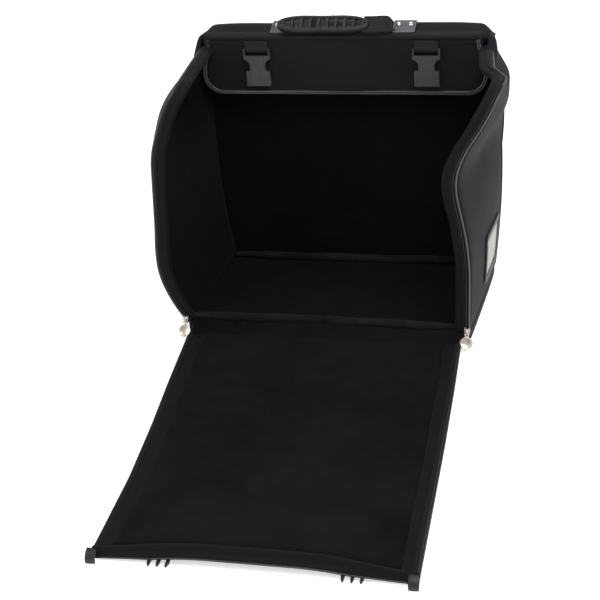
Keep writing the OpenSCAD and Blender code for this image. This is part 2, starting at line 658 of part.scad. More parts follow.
base_cover();
base_board();
base_foam();
base_lining();
back_cover();
back_foam();
back_lining();
wall_cover(-1);  // left_wall_cover
wall_foam(-1);  // left_wall_foam
wall_lining(-1);  // left_wall_lining
wall_cover(1);  // right_wall_cover
wall_foam(1);  // right_wall_foam
wall_lining(1);  // right_wall_lining
facing(-1);  // left_facing
facing(1);  // right_facing
piping(-1);  // left_piping
piping(1);  // right_piping
wall_zip_tapes();
floor_back_seam();
hinge_seam();
top_cover();
top_board();
top_foam();
top_lining();
handle_patch(-1);  // left_handle_patch
handle_patch(1);  // right_handle_patch
handle_rivets();
left_handle_webbing();
right_handle_webbing();
handle_core();
handle_grip();
label_frame();
label_card();
label_window();
lower_door_cover();
lower_door_foam();
lower_door_lining();
lower_door_borders();
upper_door_cover();
upper_door_foam();
upper_door_lining();
upper_door_borders();
door_end_border();
door_zip_tapes();
door_end_zip_tapes();
zip_end_tabs();
strap_anchors();
prong_buckle(-1);  // left_prong_buckle
prong_buckle(1);  // right_prong_buckle
flap_cover();
flap_foam();
flap_lining();
flap_binding();
flap_straps();
socket_buckle(-1);  // left_socket_buckle
socket_buckle(1);  // right_socket_buckle
zip_slider(-1);  // left_zip_slider
zip_slider(1);  // right_zip_slider
zip_pull(-1);  // left_zip_pull
zip_pull(1);  // right_zip_pull
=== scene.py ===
"""Looks for the accordion case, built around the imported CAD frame.
Lengths in this script are in millimetres until a mesh is made, +X right, +Y back, +Z up."""
import math

import bmesh
import bpy
import numpy as np
from mathutils import Matrix, Vector


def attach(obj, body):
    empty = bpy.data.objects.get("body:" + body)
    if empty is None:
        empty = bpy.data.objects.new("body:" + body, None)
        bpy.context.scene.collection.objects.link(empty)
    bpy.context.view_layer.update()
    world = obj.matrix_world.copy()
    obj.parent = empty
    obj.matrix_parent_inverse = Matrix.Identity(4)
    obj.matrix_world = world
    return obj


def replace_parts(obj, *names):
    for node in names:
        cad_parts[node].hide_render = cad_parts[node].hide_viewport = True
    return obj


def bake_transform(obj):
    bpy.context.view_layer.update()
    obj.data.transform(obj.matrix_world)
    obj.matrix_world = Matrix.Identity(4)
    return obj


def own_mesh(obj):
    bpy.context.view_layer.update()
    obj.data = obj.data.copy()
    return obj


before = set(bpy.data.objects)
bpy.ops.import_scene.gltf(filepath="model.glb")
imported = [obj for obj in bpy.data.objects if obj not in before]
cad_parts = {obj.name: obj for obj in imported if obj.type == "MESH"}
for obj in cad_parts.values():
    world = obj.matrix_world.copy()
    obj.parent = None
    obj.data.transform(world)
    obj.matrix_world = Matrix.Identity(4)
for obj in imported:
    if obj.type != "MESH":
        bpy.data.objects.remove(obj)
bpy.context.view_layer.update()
scene = bpy.context.scene
MM = 0.001
SIDES = ((-1, "left"), (1, "right"))
WORD = dict(SIDES)

# ---------------------------------------------------------------- shape of the case, as in the CAD source
BODY_W, BODY_D, BODY_H = 505.0, 254.0, 487.0
BASE_T, WALL_T, TOP_D, TOP_T = 30.0, 16.0, 46.0, 21.0
Y0, Y1 = -BODY_D / 2, BODY_D / 2
Y_TOP = Y1 - TOP_D
WALL_TOP = BODY_H - TOP_T - 0.3
CORNER_R, WALL_INSET = 50.0, 5.3
PIPE_R, ZIP_Z0 = 2.5, 24.0
DOOR_L, DOOR_T = 615.0, 16.0
HINGE_Z = DOOR_T + 5.0
LOWER_L = WALL_TOP + 5.0 - HINGE_Z
UPPER_L = DOOR_L - LOWER_L
FAR_Y = Y0 - DOOR_L

# Outer line of each side wall's front edge, height and sideways place
LEFT_EDGE = [(0, 271), (27, 274), (40, 286), (70, 300), (100, 311), (130, 316), (170, 315), (210, 310), (260, 306),
             (336, 300), (360, 295), (400, 280), (430, 268), (460, 250), (490, 234)]
RIGHT_EDGE = [(0, 233), (30, 234), (90, 236), (150, 237), (195, 234), (240, 227), (280, 219), (310, 217), (337, 223),
              (369, 238), (407, 263), (440, 279), (460, 287), (490, 297)]


def ease(t):
    c = np.clip(t, 0, 1)
    return c * c * (3 - 2 * c)


def mix(a, b, t):
    return a + (b - a) * t


def unit(v):
    return v / np.linalg.norm(v, axis=-1, keepdims=True)


def points(x, y, z):
    """Places from three coordinates, any of which may be a plain number."""
    return np.stack(np.broadcast_arrays(x, y, z), -1)


def grid(nu, nv, start=0):
    return np.meshgrid(np.linspace(start, 1, nu), np.linspace(start, 1, nv), indexing="ij")


def length_along(path):
    """Distance from the start of a path at each of its points."""
    return np.concatenate([[0], np.cumsum(np.linalg.norm(np.diff(path, axis=0), axis=1))])


def resample(p, n):
    """A coarse line with n points, spread evenly over its legs."""
    p = np.asarray(p, float)
    t = np.linspace(0, len(p) - 1, n)
    return np.stack([np.interp(t, np.arange(len(p)), p[:, k]) for k in range(p.shape[1])], 1)


def turns(n):
    return np.linspace(0, 2 * math.pi, n, endpoint=False)


def ring_quads(rows, m):
    """Faces between stacked rings of m points each."""
    return [[a * m + j, a * m + (j + 1) % m, (a + 1) * m + (j + 1) % m, (a + 1) * m + j]
            for a in range(rows - 1) for j in range(m)]


def smooth_run(table):
    """A smooth curve through a table of height and value."""
    zs = np.array([p[0] for p in table], float)
    vs = np.array([p[1] for p in table], float)
    dense = np.linspace(zs[0], zs[-1], 400)
    line = np.interp(dense, zs, vs)
    kernel = np.exp(-0.5 * (np.arange(-24, 25) / 9.0) ** 2)
    kernel /= kernel.sum()
    padded = np.concatenate([2 * line[0] - line[24:0:-1], line, 2 * line[-1] - line[-2:-26:-1]])
    line = np.convolve(padded, kernel, "valid")
    return lambda z: np.interp(z, dense, line)


EDGE = {-1: smooth_run(LEFT_EDGE), 1: smooth_run(RIGHT_EDGE)}


def wall_x(side, y, z):
    """Sideways place of a side wall's outer face."""
    v = np.clip((np.asarray(y, float) - Y0) / BODY_D, 0, 1)
    z = np.asarray(z, float)
    swell = 17 * v * np.sin(np.pi * np.clip(z / BODY_H, 0, 1))
    start = 400.0 if side < 0 else 432.0
    held = 1.0 if side < 0 else ease((v - 0.22) / 0.24)
    tuck = held * ease((z - start) / (WALL_TOP - start))
    shoulder = 24 * np.sin(np.pi * v) * ease((z - 300) / 100) * (1 - tuck)
    slump = (EDGE[side](z) - BODY_W / 2) * (1 - v) ** 1.2
    rear = 8.0 * (side > 0) * ease((v - 0.4) / 0.4) * np.sin(np.pi * np.clip((z - 270) / 200, 0, 1))
    return side * (BODY_W / 2 + swell + shoulder + slump + rear)


def wall_front(z):
    """Front end of a wall's pad, inside its rounded corner."""
    r = CORNER_R - WALL_INSET
    h = np.maximum(0, z - (WALL_TOP - CORNER_R))
    return Y0 + CORNER_R - np.sqrt(np.maximum(0, r * r - h * h))


DOOR_EDGE = {-1: smooth_run([(0, -268), (100, -262), (180, -257), (300, -248), (440, -241), (615, -241)]),
             1: smooth_run([(0, 219), (140, 224), (300, 228), (450, 230), (615, 232)])}


def door_x(side, l):
    return DOOR_EDGE[side](l)


def arch(x, l):
    """Height of the door's underside, which lifts off the floor towards its free edge."""
    away = np.clip((231.0 - np.abs(x + 8) - 10) / 160, 0, 1)
    return 19 * ease((l - LOWER_L) / UPPER_L) * np.sin(away * np.pi / 2) ** 1.2


# ---------------------------------------------------------------- noise
def value_noise(p, seed):
    """Smooth noise from -1 to 1 at points p, given in cells."""
    base = np.floor(p).astype(np.int64)
    f = p - base
    f = f * f * (3 - 2 * f)
    total = np.zeros(len(p))
    for corner in range(8):
        bits = np.array([(corner >> k) & 1 for k in range(3)])
        c = base + bits
        h = (c[:, 0] * 73856093) ^ (c[:, 1] * 19349663) ^ (c[:, 2] * 83492791) ^ (seed * 2654435761)
        h = (h ^ (h >> 13)) * 1274126177
        h = (h ^ (h >> 16)) & 0xFFFF
        w = np.prod(np.where(bits == 1, f, 1 - f), axis=1)
        total += w * (h / 32767.5 - 1)
    return total


def fbm(x, y, z, cell, seed, octaves=3):
    """Layered noise over a place in millimetres; cell is the size of its largest lumps."""
    shape = np.broadcast(x, y, z).shape
    p = np.stack([np.broadcast_to(a, shape).ravel() for a in (x, y, z)], 1) / cell
    total, size = np.zeros(len(p)), 1.0
    for k in range(octaves):
        total += size * value_noise(p * 2.0 ** k + 17.3 * k, seed + k)
        size *= 0.5
    return total.reshape(shape)


# ---------------------------------------------------------------- mesh building
def make_mesh(name, co, faces, mats, uv=None, index=None):
    """A mesh object from points in millimetres. uv is per point, in metres of fabric."""
    mesh = bpy.data.meshes.new(name)
    mesh.from_pydata((np.asarray(co, float) * MM).tolist(), [], faces)
    for m in mats:
        mesh.materials.append(m)
    if index is not None:
        mesh.polygons.foreach_set("material_index", np.asarray(index, np.int32))
    mesh.polygons.foreach_set("use_smooth", np.full(len(mesh.polygons), True))
    if uv is not None:
        layer = mesh.uv_layers.new(name="fabric")
        loops = np.zeros(len(mesh.loops), np.int32)
        mesh.loops.foreach_get("vertex_index", loops)
        layer.data.foreach_set("uv", np.asarray(uv, np.float32)[loops].ravel())
    mesh.update()
    o = bpy.data.objects.new(name, mesh)
    scene.collection.objects.link(o)
    return o


def fabric_lengths(p):
    """For a grid of points, the length along each way in metres, as uv for each point."""
    du = np.linalg.norm(np.diff(p, axis=0), axis=2).mean(axis=1)
    dv = np.linalg.norm(np.diff(p, axis=1), axis=2).mean(axis=0)
    u = np.concatenate([[0], np.cumsum(du)]) * MM
    v = np.concatenate([[0], np.cumsum(dv)]) * MM
    return np.stack(np.meshgrid(u, v, indexing="ij"), 2)


RIM_STEPS = 3


def slab(name, over, under, mats, round_to):
    """Closed pad between two grids of points of the same shape, given as (nu, nv, 3) arrays.
    Materials: 0 on the over side, 1 on the under side, 2 round the rim."""
    nu, nv = over.shape[:2]
    n = nu * nv
    co = np.concatenate([over.reshape(-1, 3), under.reshape(-1, 3)])
    i, j = np.meshgrid(np.arange(nu - 1), np.arange(nv - 1), indexing="ij")
    a = (i * nv + j).ravel()
    quads = np.stack([a, a + nv, a + nv + 1, a + 1], 1)
    ring = (list(range(nv)) + [r * nv + nv - 1 for r in range(1, nu)]
            + [(nu - 1) * nv + k for k in range(nv - 2, -1, -1)] + [r * nv for r in range(nu - 2, 0, -1)])
    m = len(ring)
    upper, lower = co[ring], co[[r + n for r in ring]]
    thick = np.linalg.norm(upper - lower, axis=1)[:, None]
    row, column = np.divmod(ring, nv)
    out = upper - co[np.clip(row, 1, nu - 2) * nv + np.clip(column, 1, nv - 2)]
    out /= np.maximum(np.linalg.norm(out, axis=1), 1e-6)[:, None]
    rim, extra, last = [], [], ring
    for step in range(1, RIM_STEPS + 1):
        t = step / RIM_STEPS
        if step == RIM_STEPS:
            now = [r + n for r in ring]
        else:
            now = [2 * n + len(extra) + k for k in range(m)]
            extra += (mix(upper, lower, t) + out * thick * round_to * math.sin(math.pi * t)).tolist()
        rim += [[last[k], last[(k + 1) % m], now[(k + 1) % m], now[k]] for k in range(m)]
        last = now
    uv = np.concatenate([fabric_lengths(over).reshape(-1, 2), fabric_lengths(under).reshape(-1, 2)])
    co = np.concatenate([co, np.array(extra)])
    uv = np.concatenate([uv, np.tile(uv[ring], (RIM_STEPS - 1, 1)) + 0.004])
    index = [0] * len(quads) + [int(len(mats) > 1)] * len(quads) + [2 * int(len(mats) > 2)] * len(rim)
    return fix_normals(make_mesh(name, co, quads.tolist() + (n + quads[:, ::-1]).tolist() + rim, mats, uv, index))


def fix_normals(o):
    bm = bmesh.new()
    bm.from_mesh(o.data)
    bmesh.ops.recalc_face_normals(bm, faces=bm.faces)
    bm.to_mesh(o.data)
    bm.free()
    return o


def sweep(name, path, a_dir, b_dir, section, mats, closed=False):
    """A closed profile carried along a path. section is (m, 2) or (n, m, 2), in the directions a_dir and b_dir."""
    path = np.asarray(path, float)
    n = len(path)
    section = np.asarray(section, float)
    if section.ndim == 2:
        section = np.broadcast_to(section, (n,) + section.shape)
    m = section.shape[1]
    a_dir = np.broadcast_to(np.asarray(a_dir, float), (n, 3))
    b_dir = np.broadcast_to(np.asarray(b_dir, float), (n, 3))
    co = path[:, None] + section[:, :, :1] * a_dir[:, None] + section[:, :, 1:] * b_dir[:, None]
    faces = [[i * m + j, i * m + (j + 1) % m, (i + 1) % n * m + (j + 1) % m, (i + 1) % n * m + j]
             for i in range(n if closed else n - 1) for j in range(m)]
    if not closed:
        faces += [list(range(m))[::-1], [(n - 1) * m + j for j in range(m)]]
    uv = np.stack(np.meshgrid(length_along(path) * MM, length_along(section[0]) * MM, indexing="ij"), 2)
    return fix_normals(make_mesh(name, co.reshape(-1, 3), faces, mats, uv.reshape(-1, 2)))


def circle(r, m):
    return r * np.stack([np.cos(turns(m)), np.sin(turns(m))], 1)


def rounded_box(w, h, r, m=4):
    """Outline of a rounded rectangle, w along the first direction and h along the second, centred."""
    pts = []
    for quarter, (cx, cy) in enumerate(((1, 1), (-1, 1), (-1, -1), (1, -1))):
        for k in range(m + 1):
            t = math.radians(90 * (quarter + k / m))
            pts.append((cx * (w / 2 - r) + r * math.cos(t), cy * (h / 2 - r) + r * math.sin(t)))
    return np.array(pts)


def tube(name, path, r, mats, m=10, closed=False, up=(0, 0, 1)):
    """A round cord along a path."""
    path = np.asarray(path, float)
    t = unit(np.roll(path, -1, 0) - np.roll(path, 1, 0) if closed else np.gradient(path, axis=0))
    a = np.cross(np.broadcast_to(np.asarray(up, float), t.shape), t)
    bad = np.linalg.norm(a, axis=1) < 0.15
    a[bad] = np.cross([1.0, 0.2, 0.1], t[bad])
    a = unit(a)
    r = np.broadcast_to(np.asarray(r, float), (len(path),))
    return sweep(name, path, a, np.cross(t, a), circle(1.0, m) * r[:, None, None], mats, closed=closed)


STITCH_W = 0.8


def dashes(name, path, normal, mat, length=3.2, gap=1.8, height=0.4):
    """A row of stitches along a path, each a small raised loop of thread."""
    path = np.asarray(path, float)
    normal = np.broadcast_to(np.asarray(normal, float), path.shape)
    s = length_along(path)
    count = max(2, int(s[-1] / (length + gap)))
    co, faces = [], []
    for c in (np.arange(count) + 0.5) * s[-1] / count:
        p = [np.array([np.interp(c + t * length / 2, s, path[:, k]) for k in range(3)]) for t in (-1, -0.5, 0.5, 1)]
        nn = np.array([np.interp(c, s, normal[:, k]) for k in range(3)])
        nn /= np.linalg.norm(nn)
        d = p[3] - p[0]
        d /= max(np.linalg.norm(d), 1e-9)
        w = np.cross(nn, d) * STITCH_W / 2
        base = len(co)
        for q, h in zip(p, (-0.1, height, height, -0.1)):
            co += [q - w + nn * h * 0.4, q + nn * h, q + w + nn * h * 0.4]
        for k in range(3):
            a = base + 3 * k
            faces += [[a, a + 3, a + 4, a + 1], [a + 1, a + 4, a + 5, a + 2]]
    return make_mesh(name, co, faces, [mat])


def done(o, body, replaced=()):
    """Rides and stands for its CAD nodes."""
    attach(o, body)
    if replaced:
        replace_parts(o, *replaced)
    return o


# ---------------------------------------------------------------- materials
class Shader:
    """A small helper that makes a Principled material node by node."""

    def __init__(self, name, rough=0.6, **fixed):
        self.m = bpy.data.materials.new(name)
        self.m.use_nodes = True
        self.t = self.m.node_tree
        self.t.nodes.clear()
        self.out = self.t.nodes.new("ShaderNodeOutputMaterial")
        self.s = self.t.nodes.new("ShaderNodeBsdfPrincipled")
        self.t.links.new(self.s.outputs[0], self.out.inputs[0])
        self.s.inputs["Roughness"].default_value = rough
        for k, v in fixed.items():
            self.s.inputs[k.replace("_", " ")].default_value = v
        self.coord = self.t.nodes.new("ShaderNodeTexCoord")

    def node(self, kind, *links, **fixed):
        """A node with constants by input name and links given as (output, input) pairs."""
        n = self.t.nodes.new("ShaderNode" + kind)
        for k, v in fixed.items():
            n.inputs[k.replace("_", " ")].default_value = v
        for output, socket in links:
            self.t.links.new(output, n.inputs[socket])
        return n

    def math(self, op, a, b):
        n = self.node("Math")
        n.operation = op
        for k, v in enumerate((a, b)):
            if hasattr(v, "links"):
                self.t.links.new(v, n.inputs[k])
            else:
                n.inputs[k].default_value = v
        return n.outputs[0]

    def total(self, *shares):
        """The sum of (output, weight) pairs."""
        out = None
        for value, weight in shares:
            part = value if weight == 1 else self.math("MULTIPLY", value, weight)
            out = part if out is None else self.math("ADD", out, part)
        return out

    def place(self, space="UV", scale=(1, 1, 1), turn=0.0):
        n = self.node("Mapping", (self.coord.outputs[space], "Vector"), Scale=scale, Rotation=(0, 0, turn))
        return n.outputs[0]

    def noise(self, at, scale, detail=3.0, rough=0.5, distortion=0.0):
        return self.node("TexNoise", (at, "Vector"), Scale=scale, Detail=detail, Roughness=rough,
                         Distortion=distortion).outputs[0]

    def wave(self, at, scale, axis, distortion=0.0):
        n = self.node("TexWave", (at, "Vector"), Scale=scale, Distortion=distortion, Detail=1.0)
        n.wave_type, n.bands_direction, n.wave_profile = "BANDS", axis, "SIN"
        return n.outputs[1]

    def cells(self, at, scale):
        return self.node("TexVoronoi", (at, "Vector"), Scale=scale).outputs["Distance"]

    def span(self, value, lo, hi):
        return self.node("MapRange", (value, "Value"), To_Min=lo, To_Max=hi).outputs[0]

    def color(self, value, *stops):
        """Base colour from a value, by stops of position and colour."""
        n = self.node("ValToRGB", (value, 0))
        for element, (place, color) in zip(n.color_ramp.elements, stops):
            element.position, element.color = place, (*color, 1)
        self.t.links.new(n.outputs[0], self.s.inputs["Base Color"])

    def roughness(self, value, lo, hi):
        self.t.links.new(self.span(value, lo, hi), self.s.inputs["Roughness"])

    def bump(self, height, strength, distance):
        n = self.node("Bump", (height, "Height"), Strength=strength, Distance=distance)
        self.t.links.new(n.outputs[0], self.s.inputs["Normal"])


def woven(name, dark, light, thread, rough, sheen):
    """Plain-woven synthetic cloth with threads of that size in millimetres."""
    s = Shader(name, rough, Sheen_Weight=sheen, Sheen_Roughness=0.45, Specular_IOR_Level=0.15)
    at = s.place()
    per_metre = 1000.0 / (thread * 2 * math.pi)
    warp, weft = s.wave(at, per_metre, "X"), s.wave(at, per_metre, "Y")
    weave = s.total((warp, 0.5), (weft, 0.5), (s.math("MULTIPLY", warp, weft), -0.5))
    fuzz = s.noise(s.place("Object"), 900, 2)
    cloud = s.noise(s.place("Object"), 9, 3, 0.6)
    s.color(s.total((cloud, 0.55), (fuzz, 0.2), (weave, 0.35)), (0.30, dark), (0.80, light))
    s.roughness(cloud, rough - 0.07, rough + 0.07)
    s.bump(s.total((weave, 1), (fuzz, 0.5)), 0.35, thread * 0.0003)
    return s.m


def plush(name, dark, light, sheen, lumps=7.0):
    """Velour with a short nap that lies this way and that in patches."""
    s = Shader(name, Sheen_Weight=sheen, Sheen_Roughness=0.55, Sheen_Tint=(0.5, 0.5, 0.56, 1), Specular_IOR_Level=0.08)
    at = s.place("Object")
    patch = s.noise(at, lumps, 4, 0.6, 0.6)
    brush = s.noise(s.place("UV", (1, 0.35, 1), 0.5), 60, 4, 0.65, 0.4)
    pile = s.noise(at, 700, 3, 0.7)
    streak = s.noise(s.place("UV", (0.3, 1, 1)), 30, 2, 0.6, 1.2)
    s.color(s.total((patch, 0.60), (brush, 0.22), (pile, 0.16), (streak, 0.10)), (0.40, dark), (0.66, light))
    s.roughness(patch, 0.95, 0.75)
    s.bump(s.total((pile, 1), (brush, 0.8)), 0.5, 0.0007)
    return s.m


def leather(name, dark, light, rough, coat, cell, crease=60):
    """Leathercloth with a fine pebble grain, paler where it is rubbed."""
    s = Shader(name, Coat_Weight=coat, Coat_Roughness=0.25)
    at = s.place("Object")
    folds = s.noise(at, crease, 4, 0.6, 0.8)
    s.color(s.total((s.noise(at, 22, 3, 0.6), 0.7), (folds, 0.3)), (0.35, dark), (0.72, light))
    s.roughness(folds, rough - 0.1, rough + 0.15)
    s.bump(s.total((s.cells(at, cell), 0.6), (folds, 1.2)), 0.35, 0.0005)
    return s.m


def ribbed(name, dark, light, rib=1.6, rough=0.7, space="UV"):
    """Webbing, with ribs along it and a finer herringbone across."""
    s = Shader(name, rough, Sheen_Weight=0.04, Sheen_Roughness=0.5, Specular_IOR_Level=0.2)
    at = s.place(space)
    ribs = s.wave(at, 500.0 / rib / math.pi, "Y")
    picks = s.wave(at, 1000.0 / 2.4 / math.pi, "X", 0.4)
    h = s.total((ribs, 1), (picks, 0.5))
    s.color(s.total((h, 0.45), (s.noise(s.place("Object"), 1200, 2), 0.3)), (0.25, dark), (0.85, light))
    s.bump(h, 0.6, 0.0005)
    return s.m


def moulded(name, dark, light, rough, grain=450, strength=0.12):
    """Injection-moulded plastic with a fine sparked skin and rubbed high spots."""
    s = Shader(name)
    skin = s.noise(s.place("Object"), grain, 3, 0.6)
    scuff = s.noise(s.place("Object", (1, 1, 0.25)), 60, 4, 0.7)
    s.color(scuff, (0.35, dark), (0.75, light))
    s.roughness(s.total((skin, 0.4), (scuff, 0.6)), rough - 0.1, rough + 0.12)
    s.bump(skin, strength, 0.0003)
    return s.m


def metal(name, dark, light, rough):
    """Plated metal with faint scratches."""
    s = Shader(name, Metallic=1.0)
    scratch = s.noise(s.place("Object", (1, 1, 12)), 200, 3, 0.7)
    s.color(s.noise(s.place("Object"), 80, 4, 0.6), (0.3, dark), (0.7, light))
    s.roughness(scratch, rough - 0.08, rough + 0.12)
    s.bump(scratch, 0.08, 0.0002)
    return s.m


NYLON = woven("outer_nylon", (0.0056, 0.0050, 0.0074), (0.0128, 0.0113, 0.0162), 1.5, 0.78, 0.04)
# The top strip and flap get their own, darker copy of the outer nylon, to take off the lamp light that falls on them:
# painted shade.
FLAP_CLOTH_SHADED = woven("flap_cloth_painted_shade", (0.0050, 0.0048, 0.0062), (0.0118, 0.0112, 0.0138), 1.5, 0.78, 0.04)
FACING = woven("facing_twill", (0.0034, 0.0032, 0.0040), (0.0082, 0.0077, 0.0092), 1.2, 0.80, 0.03)
# The door's borders get a darker copy of the facing twill, to take off the key light that falls on the open door:
# painted shade.
DOOR_BAND_SHADED = woven("door_band_twill_painted_shade", (0.0026, 0.0025, 0.0034), (0.0062, 0.0058, 0.0078), 1.2, 0.80, 0.03)
VELOUR = plush("velour_inside", (0.0010, 0.0010, 0.0013), (0.0030, 0.0028, 0.0038), sheen=0.045)
# The open door and hinge cloth get their own copy of the lining velour, its tone set against the key light that falls
# on the door: painted shade.
VELOUR_DOOR_SHADED = plush("velour_door_painted_shade", (0.0007, 0.0007, 0.0011), (0.0056, 0.0052, 0.0074), sheen=0.05, lumps=4.5)
# The seam rolls get a paler copy of the lining velour, where light catches their round: painted light.
VELOUR_ROLL_LIT = plush("velour_roll_painted_light", (0.0035, 0.0034, 0.0040), (0.0125, 0.0120, 0.0135), sheen=0.07, lumps=16.0)
BINDING = leather("binding_gloss", (0.012, 0.012, 0.013), (0.030, 0.030, 0.032), 0.34, 0.5, 700, crease=90)
PIPING = leather("piping_vinyl", (0.010, 0.010, 0.011), (0.026, 0.026, 0.028), 0.40, 0.35, 1200, crease=120)
PATCH = leather("patch_leathercloth", (0.040, 0.037, 0.046), (0.078, 0.072, 0.086), 0.50, 0.15, 800)
PATCH_EDGE = leather("patch_edge", (0.075, 0.070, 0.082), (0.13, 0.125, 0.14), 0.45, 0.2, 1200)
TAB = leather("tab_leathercloth", (0.004, 0.0038, 0.005), (0.010, 0.0095, 0.012), 0.5, 0.12, 800)
WEBBING = ribbed("webbing_black", (0.0048, 0.0047, 0.0056), (0.0165, 0.0160, 0.0180))
TAPE = ribbed("zip_tape_cloth", (0.0028, 0.0028, 0.0033), (0.0080, 0.0078, 0.0090), 1.0, 0.8)
COIL = moulded("zip_coil", (0.005, 0.005, 0.006), (0.015, 0.015, 0.017), 0.5)
THREAD = ribbed("thread", (0.006, 0.006, 0.007), (0.020, 0.020, 0.023), 0.5, 0.6, "Object")
BUCKLE = moulded("buckle_acetal", (0.020, 0.020, 0.0215), (0.038, 0.038, 0.040), 0.42, 500)
GRIP = moulded("grip_rubber", (0.0062, 0.0062, 0.0068), (0.016, 0.016, 0.017), 0.50, 700, 0.2)
FRAME = moulded("label_frame_vinyl", (0.010, 0.0088, 0.0080), (0.024, 0.021, 0.019), 0.45, 900, 0.15)
RIVET = metal("rivet_nickel", (0.55, 0.54, 0.53), (0.86, 0.85, 0.84), 0.22)
SLIDER = metal("slider_nickel", (0.42, 0.40, 0.37), (0.75, 0.72, 0.68), 0.30)
PULL = metal("pull_champagne", (0.62, 0.55, 0.47), (0.86, 0.79, 0.71), 0.32)


# Near-black plastic for flat sheets set across the socket buckles' openings and the grip's drain holes: painted shade
# where the openings are.
OPENING_SHADE = moulded("painted_opening_shade", (0.002, 0.002, 0.002), (0.004, 0.004, 0.004), 0.6)
STITCH_PALE = ribbed("thread_grey", (0.05, 0.048, 0.055), (0.12, 0.115, 0.125), 0.5, 0.6, "Object")


def card_material():
    s = Shader("label_card", 0.65)
    at = s.place("Object")
    s.color(s.noise(at, 30, 3, 0.6), (0.3, (0.46, 0.42, 0.36)), (0.7, (0.58, 0.54, 0.47)))
    s.bump(s.noise(at, 350, 4, 0.6), 0.1, 0.0002)
    return s.m


def window_material():
    s = Shader("label_window", Alpha=0.16, IOR=1.45)
    at = s.place("Object")
    haze = s.noise(at, 25, 3, 0.6)
    s.color(haze, (0.3, (0.78, 0.80, 0.82)), (0.7, (0.9, 0.91, 0.92)))
    s.roughness(haze, 0.08, 0.22)
    s.bump(s.noise(at, 60, 2), 0.05, 0.0005)
    return s.m


CARD, WINDOW = card_material(), window_material()

# ---------------------------------------------------------------- side walls
def wall_grid(side, depth):
    """Points of a wall at a depth inside its outer face. depth is a function of u, v, y and z."""
    u, v = grid(40, 72)
    z = mix(BASE_T + 0.3, WALL_TOP - WALL_INSET, np.sin(v * np.pi / 2) ** 0.9)
    y = mix(wall_front(z), Y1 - WALL_T - 0.3, u)
    return points(wall_x(side, y, z) - side * depth(u, v, y, z), y, z)


def pillow(u, v, power=0.45):
    return (np.clip(np.sin(np.pi * u), 0, 1) * np.clip(np.sin(np.pi * v), 0, 1)) ** power


def edge_line(z0, y1, step=4.0):
    """The front edge of a wall, round its corner and back along its top: y, z and the outward direction."""
    rows = [(Y0, z, -1.0, 0.0) for z in np.arange(z0, WALL_TOP - CORNER_R, step)]
    rows += [(Y0 + CORNER_R * (1 - math.cos(a)), WALL_TOP - CORNER_R * (1 - math.sin(a)), -math.cos(a), math.sin(a))
             for a in np.linspace(0, math.pi / 2, max(4, int(CORNER_R * 1.57 / step)))]
    rows += [(y, WALL_TOP, 0.0, 1.0) for y in np.arange(Y0 + CORNER_R + step, y1, step)] + [(y1, WALL_TOP, 0.0, 1.0)]
    return np.array(rows)


def edge_frame(side, z0, step=4.0):
    e = edge_line(z0, Y_TOP - 0.3, step)
    path = points(wall_x(side, e[:, 0], e[:, 1]), e[:, 0], e[:, 1])
    out = points(np.zeros(len(e)), e[:, 2], e[:, 3])
    return path, np.array([-side, 0.0, 0.0]), out


WALL_SEED = {-1: 11, 1: 47}
FACING_SHAPE = [(5.2, -7.5), (14, -9.0), (23.5, -8.0), (25.2, -5.0), (24.6, -2.0), (22.6, -0.1), (19.8, 0.9),
                (15.5, 1.5), (11.0, 1.3), (8.0, 0.4), (6.2, -0.6), (5.2, -2.2)]


